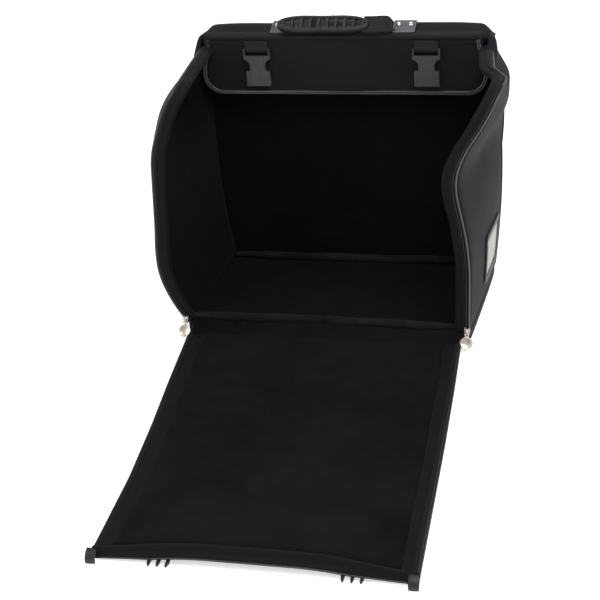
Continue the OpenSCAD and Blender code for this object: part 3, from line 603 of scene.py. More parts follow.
def wall(side):
    word = WORD[side]
    seed = WALL_SEED[side]

    def outer(u, v, y, z):
        return -3.5 * pillow(u, v) + 1.3 * fbm(y, z, 0, 110, seed) * pillow(u, v)

    def inner(u, v, y, z):
        folds = 2.4 * fbm(y, z, 0, 130, seed + 5) + 0.9 * fbm(y, z * 0.5, 0, 36, seed + 9)
        return WALL_T + (2.5 + folds) * pillow(u, v, 0.6)

    pad = slab(word + "_wall_pad", wall_grid(side, outer), wall_grid(side, inner), [NYLON, VELOUR, FACING], 0.05)
    done(pad, "case", [word + "_wall_" + k for k in ("cover", "foam", "lining")])

    path, a, b = edge_frame(side, BASE_T + 0.3)
    n = len(path)
    s = length_along(path)
    puff = fbm(s, 0, 0, 42, seed + 20, 3)
    drift = fbm(s, 0, 90, 70, seed + 30, 2)
    section = np.repeat(np.array(FACING_SHAPE)[None], n, 0)
    section[:, 4:10, 1] += puff[:, None] * 1.1 - 0.2
    section[:, 2:7, 0] += drift[:, None] * 1.4
    band = sweep(word + "_facing_band", path, a, b, section, [FACING])
    done(band, "case", [word + "_facing"])

    c = circle(PIPE_R, 12) + np.array([PIPE_R, -PIPE_R + 0.6])
    wob = 1 + 0.07 * fbm(s, 0, 0, 14, seed + 40, 2)
    cord = sweep(word + "_edge_piping", path, a, b, c[None] * np.stack([wob, wob], 1)[:, None], [PIPING])
    done(cord, "case", [word + "_piping"])

    # stitches beside the piping and along the inner edge of the band
    stitches = []
    for inset, height in ((7.6, 0.6), (21.0, 0.9)):
        line = path + a * inset + b * height + b * (puff * 0.9)[:, None]
        stitches.append(dashes(word + "_band_stitches", line, b, THREAD))
    # zip tape with its coil on the face of the band
    tz, ta, tb = edge_frame(side, ZIP_Z0, 3.0)
    ts = length_along(tz)
    tape_shape = rounded_box(6.4, 0.9, 0.4, 2) + np.array([8.9, 1.5])
    tp = fbm(ts, 0, 0, 42, seed + 20, 3)
    tsec = np.repeat(tape_shape[None], len(tz), 0)
    tsec[:, :, 1] += (0.55 * tp)[:, None]
    tape = sweep(word + "_zip_tape", tz, ta, tb, tsec, [TAPE])
    cz, ca, cb = edge_frame(side, ZIP_Z0, 0.8)
    cs = length_along(cz)
    r = 0.85 + 0.3 * np.cos(cs * 2 * np.pi / 2.4)
    ring = circle(1.0, 6)[None] * r[:, None, None] + np.array([6.3, 1.9])
    ring = ring + np.stack([0 * cs, 0.55 * np.interp(cs, ts, tp)], 1)[:, None]
    coil = sweep(word + "_zip_coil", cz, ca, cb, ring, [COIL])
    for o in (*stitches, tape, coil):
        done(o, "case")
    if side < 0:
        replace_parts(tape, "wall_zip_tapes")
    return [pad, band, cord, tape, coil, *stitches]


left_soft, right_soft = wall(-1), wall(1)


# ---------------------------------------------------------------- base, back and top
def wall_caps():
    """Nylon that runs from the top of each wall up to the ends of the top strip."""
    for side, word in SIDES:
        u, v = grid(44, 12)
        y = mix(Y_TOP - 34.0, Y1 - 9.0, u)
        lift = ease((y - (Y_TOP - 34)) / 44)
        low = wall_x(side, y, WALL_TOP - 10) + side * 1.5
        high = side * mix(BODY_W / 2 + 1.0, BODY_W / 2 - 6.0, ease((y - Y_TOP) / 46))
        x = mix(low, high, v ** 1.4)
        z = mix(WALL_TOP - 10.0, mix(WALL_TOP - 1.0, BODY_H - 5.0, lift), np.sin(v * np.pi / 2))
        puff = 3.0 * np.sin(np.pi * u) ** 0.5 * np.sin(np.pi * v) ** 0.7
        over = points(x + side * puff, y, z + 0.7 * fbm(y, z, 0, 24, 141 + side) * np.sin(np.pi * v))
        under = points(x - side * 3.0, y, z - 4.0)
        done(slab(word + "_wall_cap", over, under, [NYLON], 0.2), "case")


def base():
    u, v = grid(54, 28)
    y = mix(Y0 + 2.2, Y1 - 1.5, v)
    x = mix(wall_x(-1, y, 0) + 1.5, wall_x(1, y, 0) - 1.5, u)
    over = points(x, y, 26.5)
    under = points(x, y, 1.6 * (1 - pillow(u, v, 0.25)))
    pad = slab("base_pad", over, under, [NYLON, NYLON, NYLON], 0.07)
    done(pad, "case", ["base_cover", "base_board", "base_foam"])

    y = mix(Y0 + 4, Y1 - WALL_T - 1, v)
    lo = wall_x(-1, y, 34) + WALL_T + 0.5 - 6.0 * ease(v)
    x = mix(lo, wall_x(1, y, 34) - WALL_T - 0.5, u)
    roll = 2.6 * fbm(x, y, 0, 150, 71) + 0.8 * fbm(x, y, 0, 45, 75)
    over = points(x, y, 30.0 + (5.5 + roll) * pillow(u, v, 0.5))
    under = points(x, y, 27.0)
    lining = slab("floor_lining_pad", over, under, [VELOUR, VELOUR], 0.1)
    done(lining, "case", ["base_lining"])


def back():
    u, v = grid(60, 50)
    z = mix(BASE_T + 0.3, WALL_TOP, v)
    x = mix(wall_x(-1, Y1, z) + 2.0, wall_x(1, Y1, z) - 2.0, u)
    swell = pillow(u, v, 0.5)
    over = points(x, Y1 - 1.0 + (4.5 + 1.6 * fbm(x, 0, z, 140, 81)) * swell, z)
    sag = 4.0 + 2.6 * fbm(x, 0, z, 150, 91) + 0.8 * fbm(x, 0, z, 50, 95)
    under = points(x, Y1 - WALL_T - sag * swell, z)
    pad = slab("back_pad", over, under, [NYLON, VELOUR, NYLON], 0.16)
    done(pad, "case", ["back_cover", "back_foam", "back_lining"])


ROLL_R = 7.4


def rolled(name, node, ends, seed, sag):
    """A padded seam roll that wanders a little between its ends."""
    t = np.linspace(0, 1, 150)
    p = mix(np.array(ends[0], float), np.array(ends[1], float), t[:, None])
    s = t * np.linalg.norm(np.array(ends[1]) - np.array(ends[0]))
    hold = np.clip(np.sin(np.pi * t), 0, 1) ** 0.3
    p[:, 1] += sag * fbm(s, 0, 0, 120, seed, 2) * hold
    p[:, 2] += sag * 0.8 * fbm(s, 50, 0, 100, seed + 3, 2) * hold
    r = ROLL_R * (1 + 0.10 * fbm(s, 0, 20, 34, seed + 6, 3)) * np.clip(hold * 1.25, 0.55, 1)
    done(tube(name, p, r, [VELOUR_ROLL_LIT], 14), "case", [node])


def top():
    """The fixed top strip, a padded bar with soft corners."""
    u, v = grid(90, 20, -1)
    half_w, half_d = BODY_W / 2 + 7.0, TOP_D / 2 - 0.6
    round_ = 1 - 0.30 * np.abs(u) ** 22
    x, y = half_w * u, (Y1 - TOP_D / 2) + half_d * v * round_ + 4.0 * np.abs(u) ** 22
    rear = ease((v + 1) / 1.5) * (1 - 0.30 * ease((v - 0.55) / 0.45))
    crown = (1 - np.abs(u) ** 10) * rear
    dip = -15.0 * ease((np.abs(u) - 0.90) / 0.10) ** 1.5
    z = BODY_H - 0.4 + 7.2 * crown + 0.6 * fbm(x, y, 0, 60, 101) * crown + dip
    over = points(x, y, z)
    under = points(x * 0.985, y, BODY_H - TOP_T + 0.4 - 0.8 * crown)
    pad = slab("top_strip_pad", over, under, [FLAP_CLOTH_SHADED, VELOUR, FLAP_CLOTH_SHADED], 0.10)
    done(pad, "case", ["top_cover", "top_board", "top_foam", "top_lining"])


base()
back()
top()
wall_caps()
rolled("floor_back_roll", "floor_back_seam", [(x, Y1 - WALL_T - 8, 38.5) for x in (-240, 236)], 121, 3.6)
rolled("hinge_roll", "hinge_seam", [(wall_x(-1, Y0, 34) + 22, Y0 + 4, 36.6), (wall_x(1, Y0, 34) - 20, Y0 + 4, 36.6)],
       131, 3.8)


# ---------------------------------------------------------------- door
def door_point(x, l, h):
    return points(x, Y0 - l, h + arch(x, l))


BAND_W, END_W = 28.0, 14.0
BAND_SHARE = np.array([0.0, 0.02, 0.10, 0.28, 0.5, 0.72, 0.9, 1.0, 1.0, 0.6, 0.25, 0.02])
BAND_HEIGHT = np.array([5.0, 10.0, 13.4, 14.6, 15.0, 14.4, 13.2, 11.2, 3.0, 0.8, 0.4, 1.6])
BAND_PUFF = np.array([0, 0.4, 0.9, 1, 1, 1, 0.7, 0.2, 0, 0, 0, 0])
BAND_LEAN = np.array([0, 0, 0.5, 0.9, 0, -0.8, -0.5, 0, 0, 0, 0, 0])
HEM = [(-7, 3), (-7.2, 9), (-6, 13), (-3, 15.2), (0, 15.9), (3.5, 15.0), (6.4, 12), (7.4, 8), (7.0, 3),
       (4, 0.8), (-3, 0.5)]


def door_edge_in(side, l):
    """Where the lining meets the border, a hand-sewn line that isn't quite straight."""
    seed = 203 + 2 * side
    return door_x(side, l) - side * (BAND_W + 1.6 * fbm(l, 0, side * 40, 120, seed, 3))


def door():
    u, v = grid(64, 84)
    l = mix(DOOR_L - END_W, 0.5, v)
    x = mix(door_edge_in(-1, l) - 1, door_edge_in(1, l) + 1, u)
    roll = 2.4 * fbm(x, l, 0, 160, 211) + 1.0 * fbm(x, l, 0, 60, 215) + 0.5 * fbm(x, l, 0, 26, 219, 2)
    over = door_point(x, l, 13.5 + (3.0 + roll) * pillow(u, v, 0.35))
    under = door_point(x, l, 1.2 - 0.9 * pillow(u, v, 0.2))
    pad = slab("door_pad", over, under, [VELOUR_DOOR_SHADED, NYLON, NYLON], 0.05)
    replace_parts(pad, *[w + "_door_" + k for w in ("lower", "upper") for k in ("cover", "foam", "lining")])
    made = [pad]
    for side, word in SIDES:
        ls = np.linspace(0.5, DOOR_L - 1, 150)
        edge = door_x(side, ls)
        seam = door_edge_in(side, ls)
        puff = fbm(ls, 0, 0, 46, 231 + side, 3)[:, None]
        lean = fbm(ls, 30, 0, 75, 241 + side, 2)[:, None]
        across = BAND_SHARE * (np.abs(seam - edge)[:, None] + 1.0)
        lift = arch(edge[:, None] - side * across, ls[:, None])
        section = np.stack([across, BAND_HEIGHT + 1.3 * puff * BAND_PUFF + 1.2 * lean * BAND_LEAN + lift], 2)
        band = sweep("door_%s_band" % word, points(edge, Y0 - ls, 0), (-side, 0, 0), (0, 0, 1), section, [DOOR_BAND_SHADED])
        rim = points(edge - side * 0.4, Y0 - ls, 9.6 + arch(edge, ls))
        cord = tube("door_%s_piping" % word, rim, 1.7, [PIPING], 8)
        zip_x = edge - side * 6.2
        height = 14.6 + puff[:, 0] + arch(zip_x, ls)
        tape = sweep("door_%s_zip_tape" % word, points(zip_x, Y0 - ls, height), (-side, 0, 0), (0, 0, 1),
                     rounded_box(7.4, 1.0, 0.45, 2) + np.array([0, 0.2]), [TAPE])
        fine = np.linspace(0.5, DOOR_L - 4, 760)
        middle = points(door_x(side, fine) - side * 2.7, Y0 - fine, np.interp(fine, ls, height) - 0.1)
        coil = tube("door_%s_zip_coil" % word, middle, 0.95 + 0.3 * np.cos(fine * 2 * np.pi / 2.6), [COIL], 6)
        line = points(seam + side * 2.4, Y0 - ls, 13.7 + 0.8 * puff[:, 0] + lift[:, 6])
        stitch = dashes("door_%s_stitches" % word, line, (0, 0, 1), THREAD, height=0.35)
        for o, slot in ((band, "woven_facing"), (cord, "piping"), (tape, "zip_tape"), (coil, "zip_tape"),
                        (stitch, "woven_facing")):
            made.append(o)
        if side < 0:
            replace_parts(band, "lower_door_borders", "upper_door_borders")
            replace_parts(tape, "door_zip_tapes", "door_end_zip_tapes")
    for o in made:
        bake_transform(o)

    # border along the free edge, a rolled hem that arches off the floor
    n = 140
    x = np.linspace(door_x(-1, DOOR_L) + 0.5, door_x(1, DOOR_L) - 0.5, n)
    l = DOOR_L - END_W / 2
    puff = fbm(x, 0, 0, 60, 251, 3)
    lift = arch(x, l)
    drop = np.minimum(lift * 0.75, 9.0)
    section = np.repeat(np.array(HEM)[None], n, 0)
    section[:, 2:8, 1] += (puff * 1.1)[:, None]
    section[:, 8:, 1] -= drop[:, None]
    section[:, 0, 1] -= drop * 0.5
    hem = sweep("door_end_hem", points(x, Y0 - l, lift), (0, -1, 0), (0, 0, 1), section, [DOOR_BAND_SHADED])
    done(hem, "upper_door", ["door_end_border"])
    line = points(x, Y0 - l + 5.0, lift + 14.6 + puff)[6:-6]
    done(dashes("door_end_stitches", line, (0, 0, 1), THREAD), "upper_door")
    face = points(x, Y0 - l - 7.2, lift + 4.2 - drop * 0.8)[4:-4]
    done(tube("door_end_welt", face, 1.5, [PIPING], 8), "upper_door")


def end_tab(side):
    """The folded tab of leathercloth that closes the end of a zip."""
    x0 = door_x(side, DOOR_L) - side * (1.5 if side < 0 else 6.0)
    u, v = np.meshgrid(np.linspace(-1, 1, 12), np.linspace(0, 1, 9), indexing="ij")
    x = x0 + 8.0 * (1 - 0.18 * v) * u
    y = FAR_Y + 4.0 - 15.0 * ease(v * 1.3) + 1.2 * fbm(x, v * 20, 0, 9, 261 + side)
    z = 15.6 - 15.2 * ease((v - 0.25) / 0.75) + 1.0 * fbm(x, v * 20, 9, 9, 271 + side)
    over = points(x, y - 1.4 * v, np.maximum(z + 1.0, 0.6))
    under = points(x, y + 1.2 * v + 0.4, np.maximum(z - 1.0, 0.2))
    o = slab("zip_end_tab_" + WORD[side], over, under, [TAB], 0.3)
    smooth = o.modifiers.new("smooth", "SUBSURF")
    smooth.levels = smooth.render_levels = 1
    return done(o, "upper_door", ["zip_end_tabs"] if side < 0 else ())


door()
end_tab(-1)
end_tab(1)


def hinge_cloth():
    """The strip of cloth that joins the door to the front of the base."""
    u, v = grid(70, 12)
    x = mix(mix(wall_x(-1, Y0, 30) + 22, door_x(-1, 0) + 8, v), mix(wall_x(1, Y0, 30) - 20, door_x(1, 0) - 8, v), u)
    y = mix(Y0 + 2, Y0 - 36, v) + 0.8 * fbm(x, v * 30, 0, 40, 281)
    z = mix(34.5, 13.2, np.sin(np.clip(v * 1.25, 0, 1) * np.pi / 2)) + 1.2 * fbm(x, v * 30, 40, 36, 285)
    over = points(x, y, z)
    under = over + np.array([0, 0.9, -1.6])
    o = slab("hinge_cloth", over, under, [VELOUR_DOOR_SHADED], 0.2)
    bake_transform(o)


hinge_cloth()


# ---------------------------------------------------------------- flap
FLAP_L, FLAP_R, FLAP_T = 106.0, 36.0, 12.0
FLAP_TOP_HALF, FLAP_LOW_HALF = 240.0, 252.0
BINDING_SHAPE = [(8.4, -5.2), (8.3, -6.4), (6.6, -6.75), (4.4, -6.7), (3.7, -6.15), (3.1, -6.75), (1.7, -6.6),
                 (0.5, -5.4), (0.0, -3.0), (0.0, 3.0), (0.7, 5.2), (2.4, 6.1), (5.5, 6.2), (8.4, 5.4)]
ROOT_PROFILE = [(9.0, 0.9), (4.0, 1.1), (0.0, 1.0), (-4.0, 0.7), (-8.0, -0.3), (-11.6, -2.8), (-12.9, -7.0),
                (-13.2, -13.5)]
FLAP_Y, FLAP_Z = Y_TOP - 0.5, BODY_H - 0.5


def flap_half(d, inset):
    """Half the flap's width at a drop below its seam."""
    r, k, low = FLAP_R - inset, FLAP_L - FLAP_R, FLAP_LOW_HALF - inset
    corner = low - r + np.sqrt(np.maximum(0, r * r - np.maximum(0, d - k) ** 2))
    return np.where(d <= k, mix(FLAP_TOP_HALF - inset, low, ease(d / k)), corner)


def rounded_run(p, n):
    """A rounded run through points of a profile."""
    a = resample(p, n)
    for pass_ in range(3):
        a[1:-1] = 0.25 * a[:-2] + 0.5 * a[1:-1] + 0.25 * a[2:]
    return a


def flap():
    u, v = np.meshgrid(np.linspace(-1, 1, 96), np.linspace(0, 1, 30), indexing="ij")
    d = (FLAP_L - 7.0) * np.sin(v * np.pi / 2) ** 0.95
    x = u * flap_half(d, 7.0)
    swell = (1 - np.abs(u) ** 10) * np.clip(np.sin(np.pi * (0.12 + 0.88 * v)), 0, 1) ** 0.5
    wave = 1.5 * fbm(x, d, 0, 90, 301) + 0.4 * fbm(x, d, 0, 30, 305)
    front = FLAP_Y - FLAP_T + 0.6 - (1.6 + wave) * swell
    over = points(x, front, FLAP_Z - d)
    under = points(x, FLAP_Y - 0.6 - 0.2 * swell, FLAP_Z - d)
    pad = slab("flap_pad", over, under, [FLAP_CLOTH_SHADED, VELOUR, FLAP_CLOTH_SHADED], 0.05)
    done(pad, "flap", ["flap_cover", "flap_foam", "flap_lining"])

    # glossy binding round the three free edges
    a = np.linspace(0, math.pi / 2, 26)
    k, inner = FLAP_L - FLAP_R, FLAP_LOW_HALF - FLAP_R
    left = [(-float(mix(FLAP_TOP_HALF, FLAP_LOW_HALF, ease(s / k))), s) for s in np.linspace(3.5, k, 26)[:-1]]
    left += [(-inner - FLAP_R * math.cos(t), k + FLAP_R * math.sin(t)) for t in a]
    bottom = [(x, FLAP_L) for x in np.linspace(-inner, inner, 120)[1:-1]]
    line = np.array(left + bottom + [(-x, s) for x, s in left[::-1]])
    tangent = unit(np.gradient(line, axis=0))
    inward = np.stack([tangent[:, 1], -tangent[:, 0]], 1)
    inward *= np.sign(((np.array([0.0, 40.0]) - line) * inward).sum(1))[:, None]
    crease = fbm(length_along(line), 0, 0, 26, 311, 3)
    path = points(line[:, 0], FLAP_Y - FLAP_T / 2, FLAP_Z - line[:, 1])
    a_dir = points(inward[:, 0], 0, -inward[:, 1])
    section = np.repeat(np.array(BINDING_SHAPE)[None], len(line), 0)
    section[:, 1:8, 1] -= (0.45 * crease)[:, None]
    binding = sweep("flap_edge_binding", path, a_dir, (0, 1, 0), section, [BINDING])
    done(binding, "flap", ["flap_binding"])
    stitch = path + a_dir * 9.6 + np.array([0, -FLAP_T / 2 - 1.3, 0])
    done(dashes("flap_stitches", stitch[3:-3], (0, -1, 0), THREAD), "flap")

    # cloth that rolls from the top strip over into the flap
    xs = np.linspace(-243, 243, 80)
    prof = rounded_run(ROOT_PROFILE, 26)
    x, row = np.meshgrid(xs, np.arange(len(prof)), indexing="ij")
    over = points(x, Y_TOP + prof[row, 0], BODY_H + prof[row, 1] + 0.35 * fbm(x, 5.0 * row, 0, 50, 321))
    slope = unit(np.gradient(prof, axis=0))
    norm = points(0, -slope[row, 1], slope[row, 0])
    root = slab("flap_root_cloth", over - norm * 0.1, over + norm * 1.1, [FLAP_CLOTH_SHADED], 0.2)
    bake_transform(root)
    seam = points(xs, Y_TOP - 13.6, BODY_H - 4.2 + 0.25 * fbm(xs, 0, 0, 40, 331))
    done(tube("top_front_welt", seam, 0.9, [FACING], 8), "flap")


flap()

# ---------------------------------------------------------------- straps and buckles
STRAP_X, WEB_W, WEB_T = 148.0, 40.0, 2.0
BAR_R = 2.5
BAR_Y = FLAP_Y - FLAP_T - 0.3 - (BAR_R + 0.3 + WEB_T)
BAR_Z = FLAP_Z - 21.0


def webbing(name, line, width, x_dir=(1, 0, 0), thick=WEB_T):
    """A flat strap whose centre line is given; its width lies along x_dir."""
    line = np.asarray(line, float)
    t = unit(np.gradient(line, axis=0))
    up = unit(np.cross(t, np.broadcast_to(np.asarray(x_dir, float), t.shape)))
    h, w = thick / 2, width / 2
    half = [(-w, -h * 0.5), (-w + 0.8, -h), (-w + 3, -h * 0.92), (0, -h), (w - 3, -h * 0.92), (w - 0.8, -h),
            (w, -h * 0.5)]
    return sweep(name, line, x_dir, up, half + [(-x, -y) for x, y in half], [WEBBING])


def arc_line(cy, cz, r, a0, a1, n, x):
    return [(x, cy + r * math.cos(math.radians(t)), cz + r * math.sin(math.radians(t))) for t in np.linspace(a0, a1, n)]


def plate(outline, thick, mat, bevel, at, turn=None):
    """A flat moulded plate with softened edges. The outline lies in X and Z and the thickness along Y."""
    outline = np.asarray(outline, float)
    n = len(outline)
    co = [(x, -thick / 2, z) for x, z in outline] + [(x, thick / 2, z) for x, z in outline]
    faces = [list(range(n)), list(range(n, 2 * n))[::-1]] + [[k, (k + 1) % n, n + (k + 1) % n, n + k] for k in range(n)]
    if turn is not None:
        co = co @ np.array(turn.to_3x3()).T
    o = fix_normals(make_mesh("part", co + np.array(at), faces, [mat]))
    b = o.modifiers.new("edges", "BEVEL")
    b.width, b.segments, b.limit_method, b.angle_limit = bevel * MM, 3, "ANGLE", math.radians(28)
    b.harden_normals = False
    w = o.modifiers.new("normals", "WEIGHTED_NORMAL")
    w.keep_sharp = True
    return o


def join(objs, name):
    """Applies modifiers and makes one object of several."""
    dg = bpy.context.evaluated_depsgraph_get()
    bm = bmesh.new()
    mats = []
    for o in objs:
        me = bpy.data.meshes.new_from_object(o.evaluated_get(dg))
        me.transform(o.matrix_world)
        for m in me.materials:
            if m not in mats:
                mats.append(m)
        remap = [mats.index(m) for m in me.materials] or [0]
        before = len(bm.faces)
        bm.from_mesh(me)
        bm.faces.ensure_lookup_table()
        for f in bm.faces[before:]:
            f.material_index = remap[min(f.material_index, len(remap) - 1)]
        bpy.data.meshes.remove(me)
    mesh = bpy.data.meshes.new(name)
    bm.to_mesh(mesh)
    bm.free()
    for m in mats:
        mesh.materials.append(m)
    out = bpy.data.objects.new(name, mesh)
    scene.collection.objects.link(out)
    for o in objs:
        bpy.data.objects.remove(o)
    return out


def curve_between(p, q, bow, n=8):
    """Points of an arc from p to q that bows sideways by bow."""
    p, q = np.array(p, float), np.array(q, float)
    d = q - p
    side = np.array([-d[1], d[0]]) / np.linalg.norm(d)
    return [tuple(mix(p, q, t) + side * bow * 4 * t * (1 - t)) for t in np.linspace(0, 1, n)]


def socket(side):
    word = WORD[side]
    body = word + "_socket"
    c = (side * STRAP_X, BAR_Y, BAR_Z)
    half = [(24, -10), (24, -16.5), *curve_between((24, -16.5), (14.6, -25.5), -1.6)[1:]]
    half += [*curve_between((14.6, -25.5), (14.6, -36.5), -0.6)[1:], (16.0, -38.2), (21.5, -38.2), (21.8, -42),
             (22.2, -64.5), (20.6, -66.0)]
    outline = half + [(-x, z) for x, z in half[::-1]]
    parts = [plate(outline, 8.6, BUCKLE, 1.1, c)]
    # a slightly raised and rounded middle, as the moulding has
    inner = [(13.2, -12.5), (11.6, -24), (11.0, -36), (12.6, -46), (13.2, -63)]
    inner = inner + [(-x, z) for x, z in inner[::-1]]
    parts.append(plate(inner, 1.0, BUCKLE, 0.45, (c[0], c[1] - 4.35, c[2])))
    for s in (-1, 1):
        cheek, fin = [(-1.5, 1.9), (1.5, 1.9), (1.5, -12), (-1.5, -12)], [(-2.2, 6), (1.2, 7.2), (2.0, -8), (-2.2, -8)]
        parts.append(plate(cheek, 8.6, BUCKLE, 0.9, (c[0] + s * 22.2, c[1], c[2])))
        parts.append(plate(fin, 3.0, BUCKLE, 0.7, (c[0] + s * 18.6, c[1] - 3.3, c[2] - 52.5)))
    bar = tube("part", [(c[0] + t, c[1], c[2]) for t in np.linspace(-23, 23, 6)], BAR_R, [BUCKLE], 14)
    # a thin near-black plate across the buckle's opening: painted shade inside it
    mouth_shade = plate([(-17, 0.3), (17, 0.3), (17, -0.6), (-17, -0.6)], 4.6, OPENING_SHADE, 0.2, (c[0], c[1], c[2] - 66.0))
    o = join(parts + [bar, mouth_shade], word + "_socket_moulding")
    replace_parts(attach(o, body), word + "_socket_buckle")

    # webbing: down the flap, round the bar and back up on itself, with its end sewn down
    x = side * STRAP_X
    r = BAR_R + 0.3 + WEB_T / 2
    down = [(Y_TOP - 4, BODY_H + 1.6), (Y_TOP - 8.5, BODY_H - 0.4), (Y_TOP - 11.5, BODY_H - 4.0),
            (BAR_Y + r + 0.6, BAR_Z + 12), (BAR_Y + r, BAR_Z + 4)]
    end = [(BAR_Y - r + 0.8, BAR_Z + 4), (BAR_Y - r + 2.6, BAR_Z + 8), (BAR_Y - 0.6, BAR_Z + 12.5),
           (BAR_Y - 0.1, BAR_Z + 15.5)]
    line = [*resample([(x, *p) for p in down], 18), *arc_line(BAR_Y, BAR_Z, r, 0, -180, 16, x), *[(x, *p) for p in end]]
    strap = done(webbing(word + "_flap_webbing", line, WEB_W), "flap")
    for y, z in ((BAR_Y - 1.8, BAR_Z + 13.5), (BAR_Y - 2.6, BAR_Z + 10.5)):
        row = points(np.linspace(x - 17, x + 17, 20), y, z)
        done(dashes(word + "_webbing_stitches", row, (0, -1, 0.3), THREAD, 2.6, 1.2), "flap")
    return strap


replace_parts(socket(-1), "flap_straps")
socket(1)

PRONG_BACK, BLOCK_L = 13.0, 22.0
DOOR_STRAP_X = 140.0
STRAP_Z = 5.0
MALE_BAR_Y = FAR_Y + PRONG_BACK + BLOCK_L + 5.0
SWING_Y = MALE_BAR_Y + 38.0


def prongs(side):
    word = WORD[side]
    body = word + "_strap"
    cx = side * DOOR_STRAP_X
    # plates drawn in X and Z are laid flat on the floor, with -Z pointing to -Y
    where = dict(at=(cx, MALE_BAR_Y, STRAP_Z), turn=Matrix.Rotation(math.radians(-90), 4, "X"))
    parts = [plate([(-24, -5), (24, -5), (24, -20), (21.5, -27), (-21.5, -27), (-24, -20)], 8.6, BUCKLE, 1.0, **where)]
    for x in (-13.0, 0.0, 13.0):
        lean = 0.8 * np.sign(x)
        outline = [(x - 2.6, -26), (x + 2.6, -26), (x + 2.6 + lean, -42), (x + 1.4, -49.4), (x - 1.4, -49.4),
                   (x - 2.6 + lean, -42)]
        parts.append(plate(outline, 4.0, BUCKLE, 0.7, **where))
    for s in (-1, 1):
        outline = [(s * 22.1 - 1.5, 1.9), (s * 22.1 + 1.5, 1.9), (s * 22.1 + 1.5, -6), (s * 22.1 - 1.5, -6)]
        parts.append(plate(outline, 8.6, BUCKLE, 0.8, **where))
        outline = [(s * 9 - 4.5, -9), (s * 9 + 4.5, -9), (s * 9 + 3.5, -22), (s * 9 - 3.5, -22)]
        parts.append(plate(outline, 9.6, BUCKLE, 0.5, **where))
    parts.append(tube("part", points(cx + np.linspace(-23, 23, 6), MALE_BAR_Y, STRAP_Z), BAR_R, [BUCKLE], 14))
    done(join(parts, word + "_prong_moulding"), body)
    first = [(cx, SWING_Y - 0.6 - t, STRAP_Z) for t in np.linspace(0, 29, 9)]
    first += [(cx, MALE_BAR_Y + 5.5, STRAP_Z + 1.4), (cx, MALE_BAR_Y + 3.0, STRAP_Z + 2.9)]
    loop = arc_line(MALE_BAR_Y, STRAP_Z, BAR_R + 0.3 + WEB_T / 2, 62, 300, 18, cx)
    tail = [(cx, MALE_BAR_Y + y, STRAP_Z - z) for y, z in ((5.0, 2.9), (10, 2.3), (16, 2.2))]
    done(webbing(word + "_lower_webbing", first + loop + tail, WEB_W), body, [word + "_prong_buckle"])
    # where the strap is sewn under the door
    t = np.linspace(0, 1, 8)
    y = mix(SWING_Y + 1.6, SWING_Y + 22, t)
    line = points(cx, y, STRAP_Z + t + arch(cx, Y0 - y) * 0.35)
    done(webbing(word + "_strap_anchor", line, WEB_W, thick=4.4), "upper_door",
         ["strap_anchors"] if side < 0 else ())


prongs(-1)
prongs(1)


# ---------------------------------------------------------------- handle
PATCH_X, PATCH_W, PATCH_Y = 107.0, 40.0, Y1 - TOP_D / 2
GRIP_L, GRIP_W, GRIP_T, GRIP_X = 161.0, 38.0, 14.0, -31.0
GRIP_TILT = math.radians(30)
GRIP_Y = PATCH_Y - 22.0
GRIP_Z = BODY_H + 1.0 + (GRIP_W * math.sin(GRIP_TILT) + GRIP_T * math.cos(GRIP_TILT)) / 2
GRIP_END = GRIP_X + GRIP_L / 2
RIVET_PROFILE = [(0.0, 2.4), (1.6, 2.35), (2.9, 2.0), (3.9, 1.3), (4.45, 0.5), (4.5, 0.0), (3.9, -0.3)]
RIVET_SIDES, GRIP_SIDES = 28, 140
GRIP_RINGS = [(3.2, 0.0), (1.2, 1.0), (0.2, 3.2), (0.0, 6.0), (0.0, 8.0), (0.3, 10.2), (1.3, 12.2), (2.9, 13.4),
              (4.6, 13.8), (6.2, 13.0), (7.0, 11.0), (7.3, 9.0), (9.0, 8.2)]


def crown_at(y):
    """Height of the top strip's padding above its flat board."""
    v = (np.asarray(y, float) - PATCH_Y) / (TOP_D / 2 - 0.6)
    return 7.0 * ease((v + 1) / 1.5) * (1 - 0.30 * ease((v - 0.55) / 0.45))


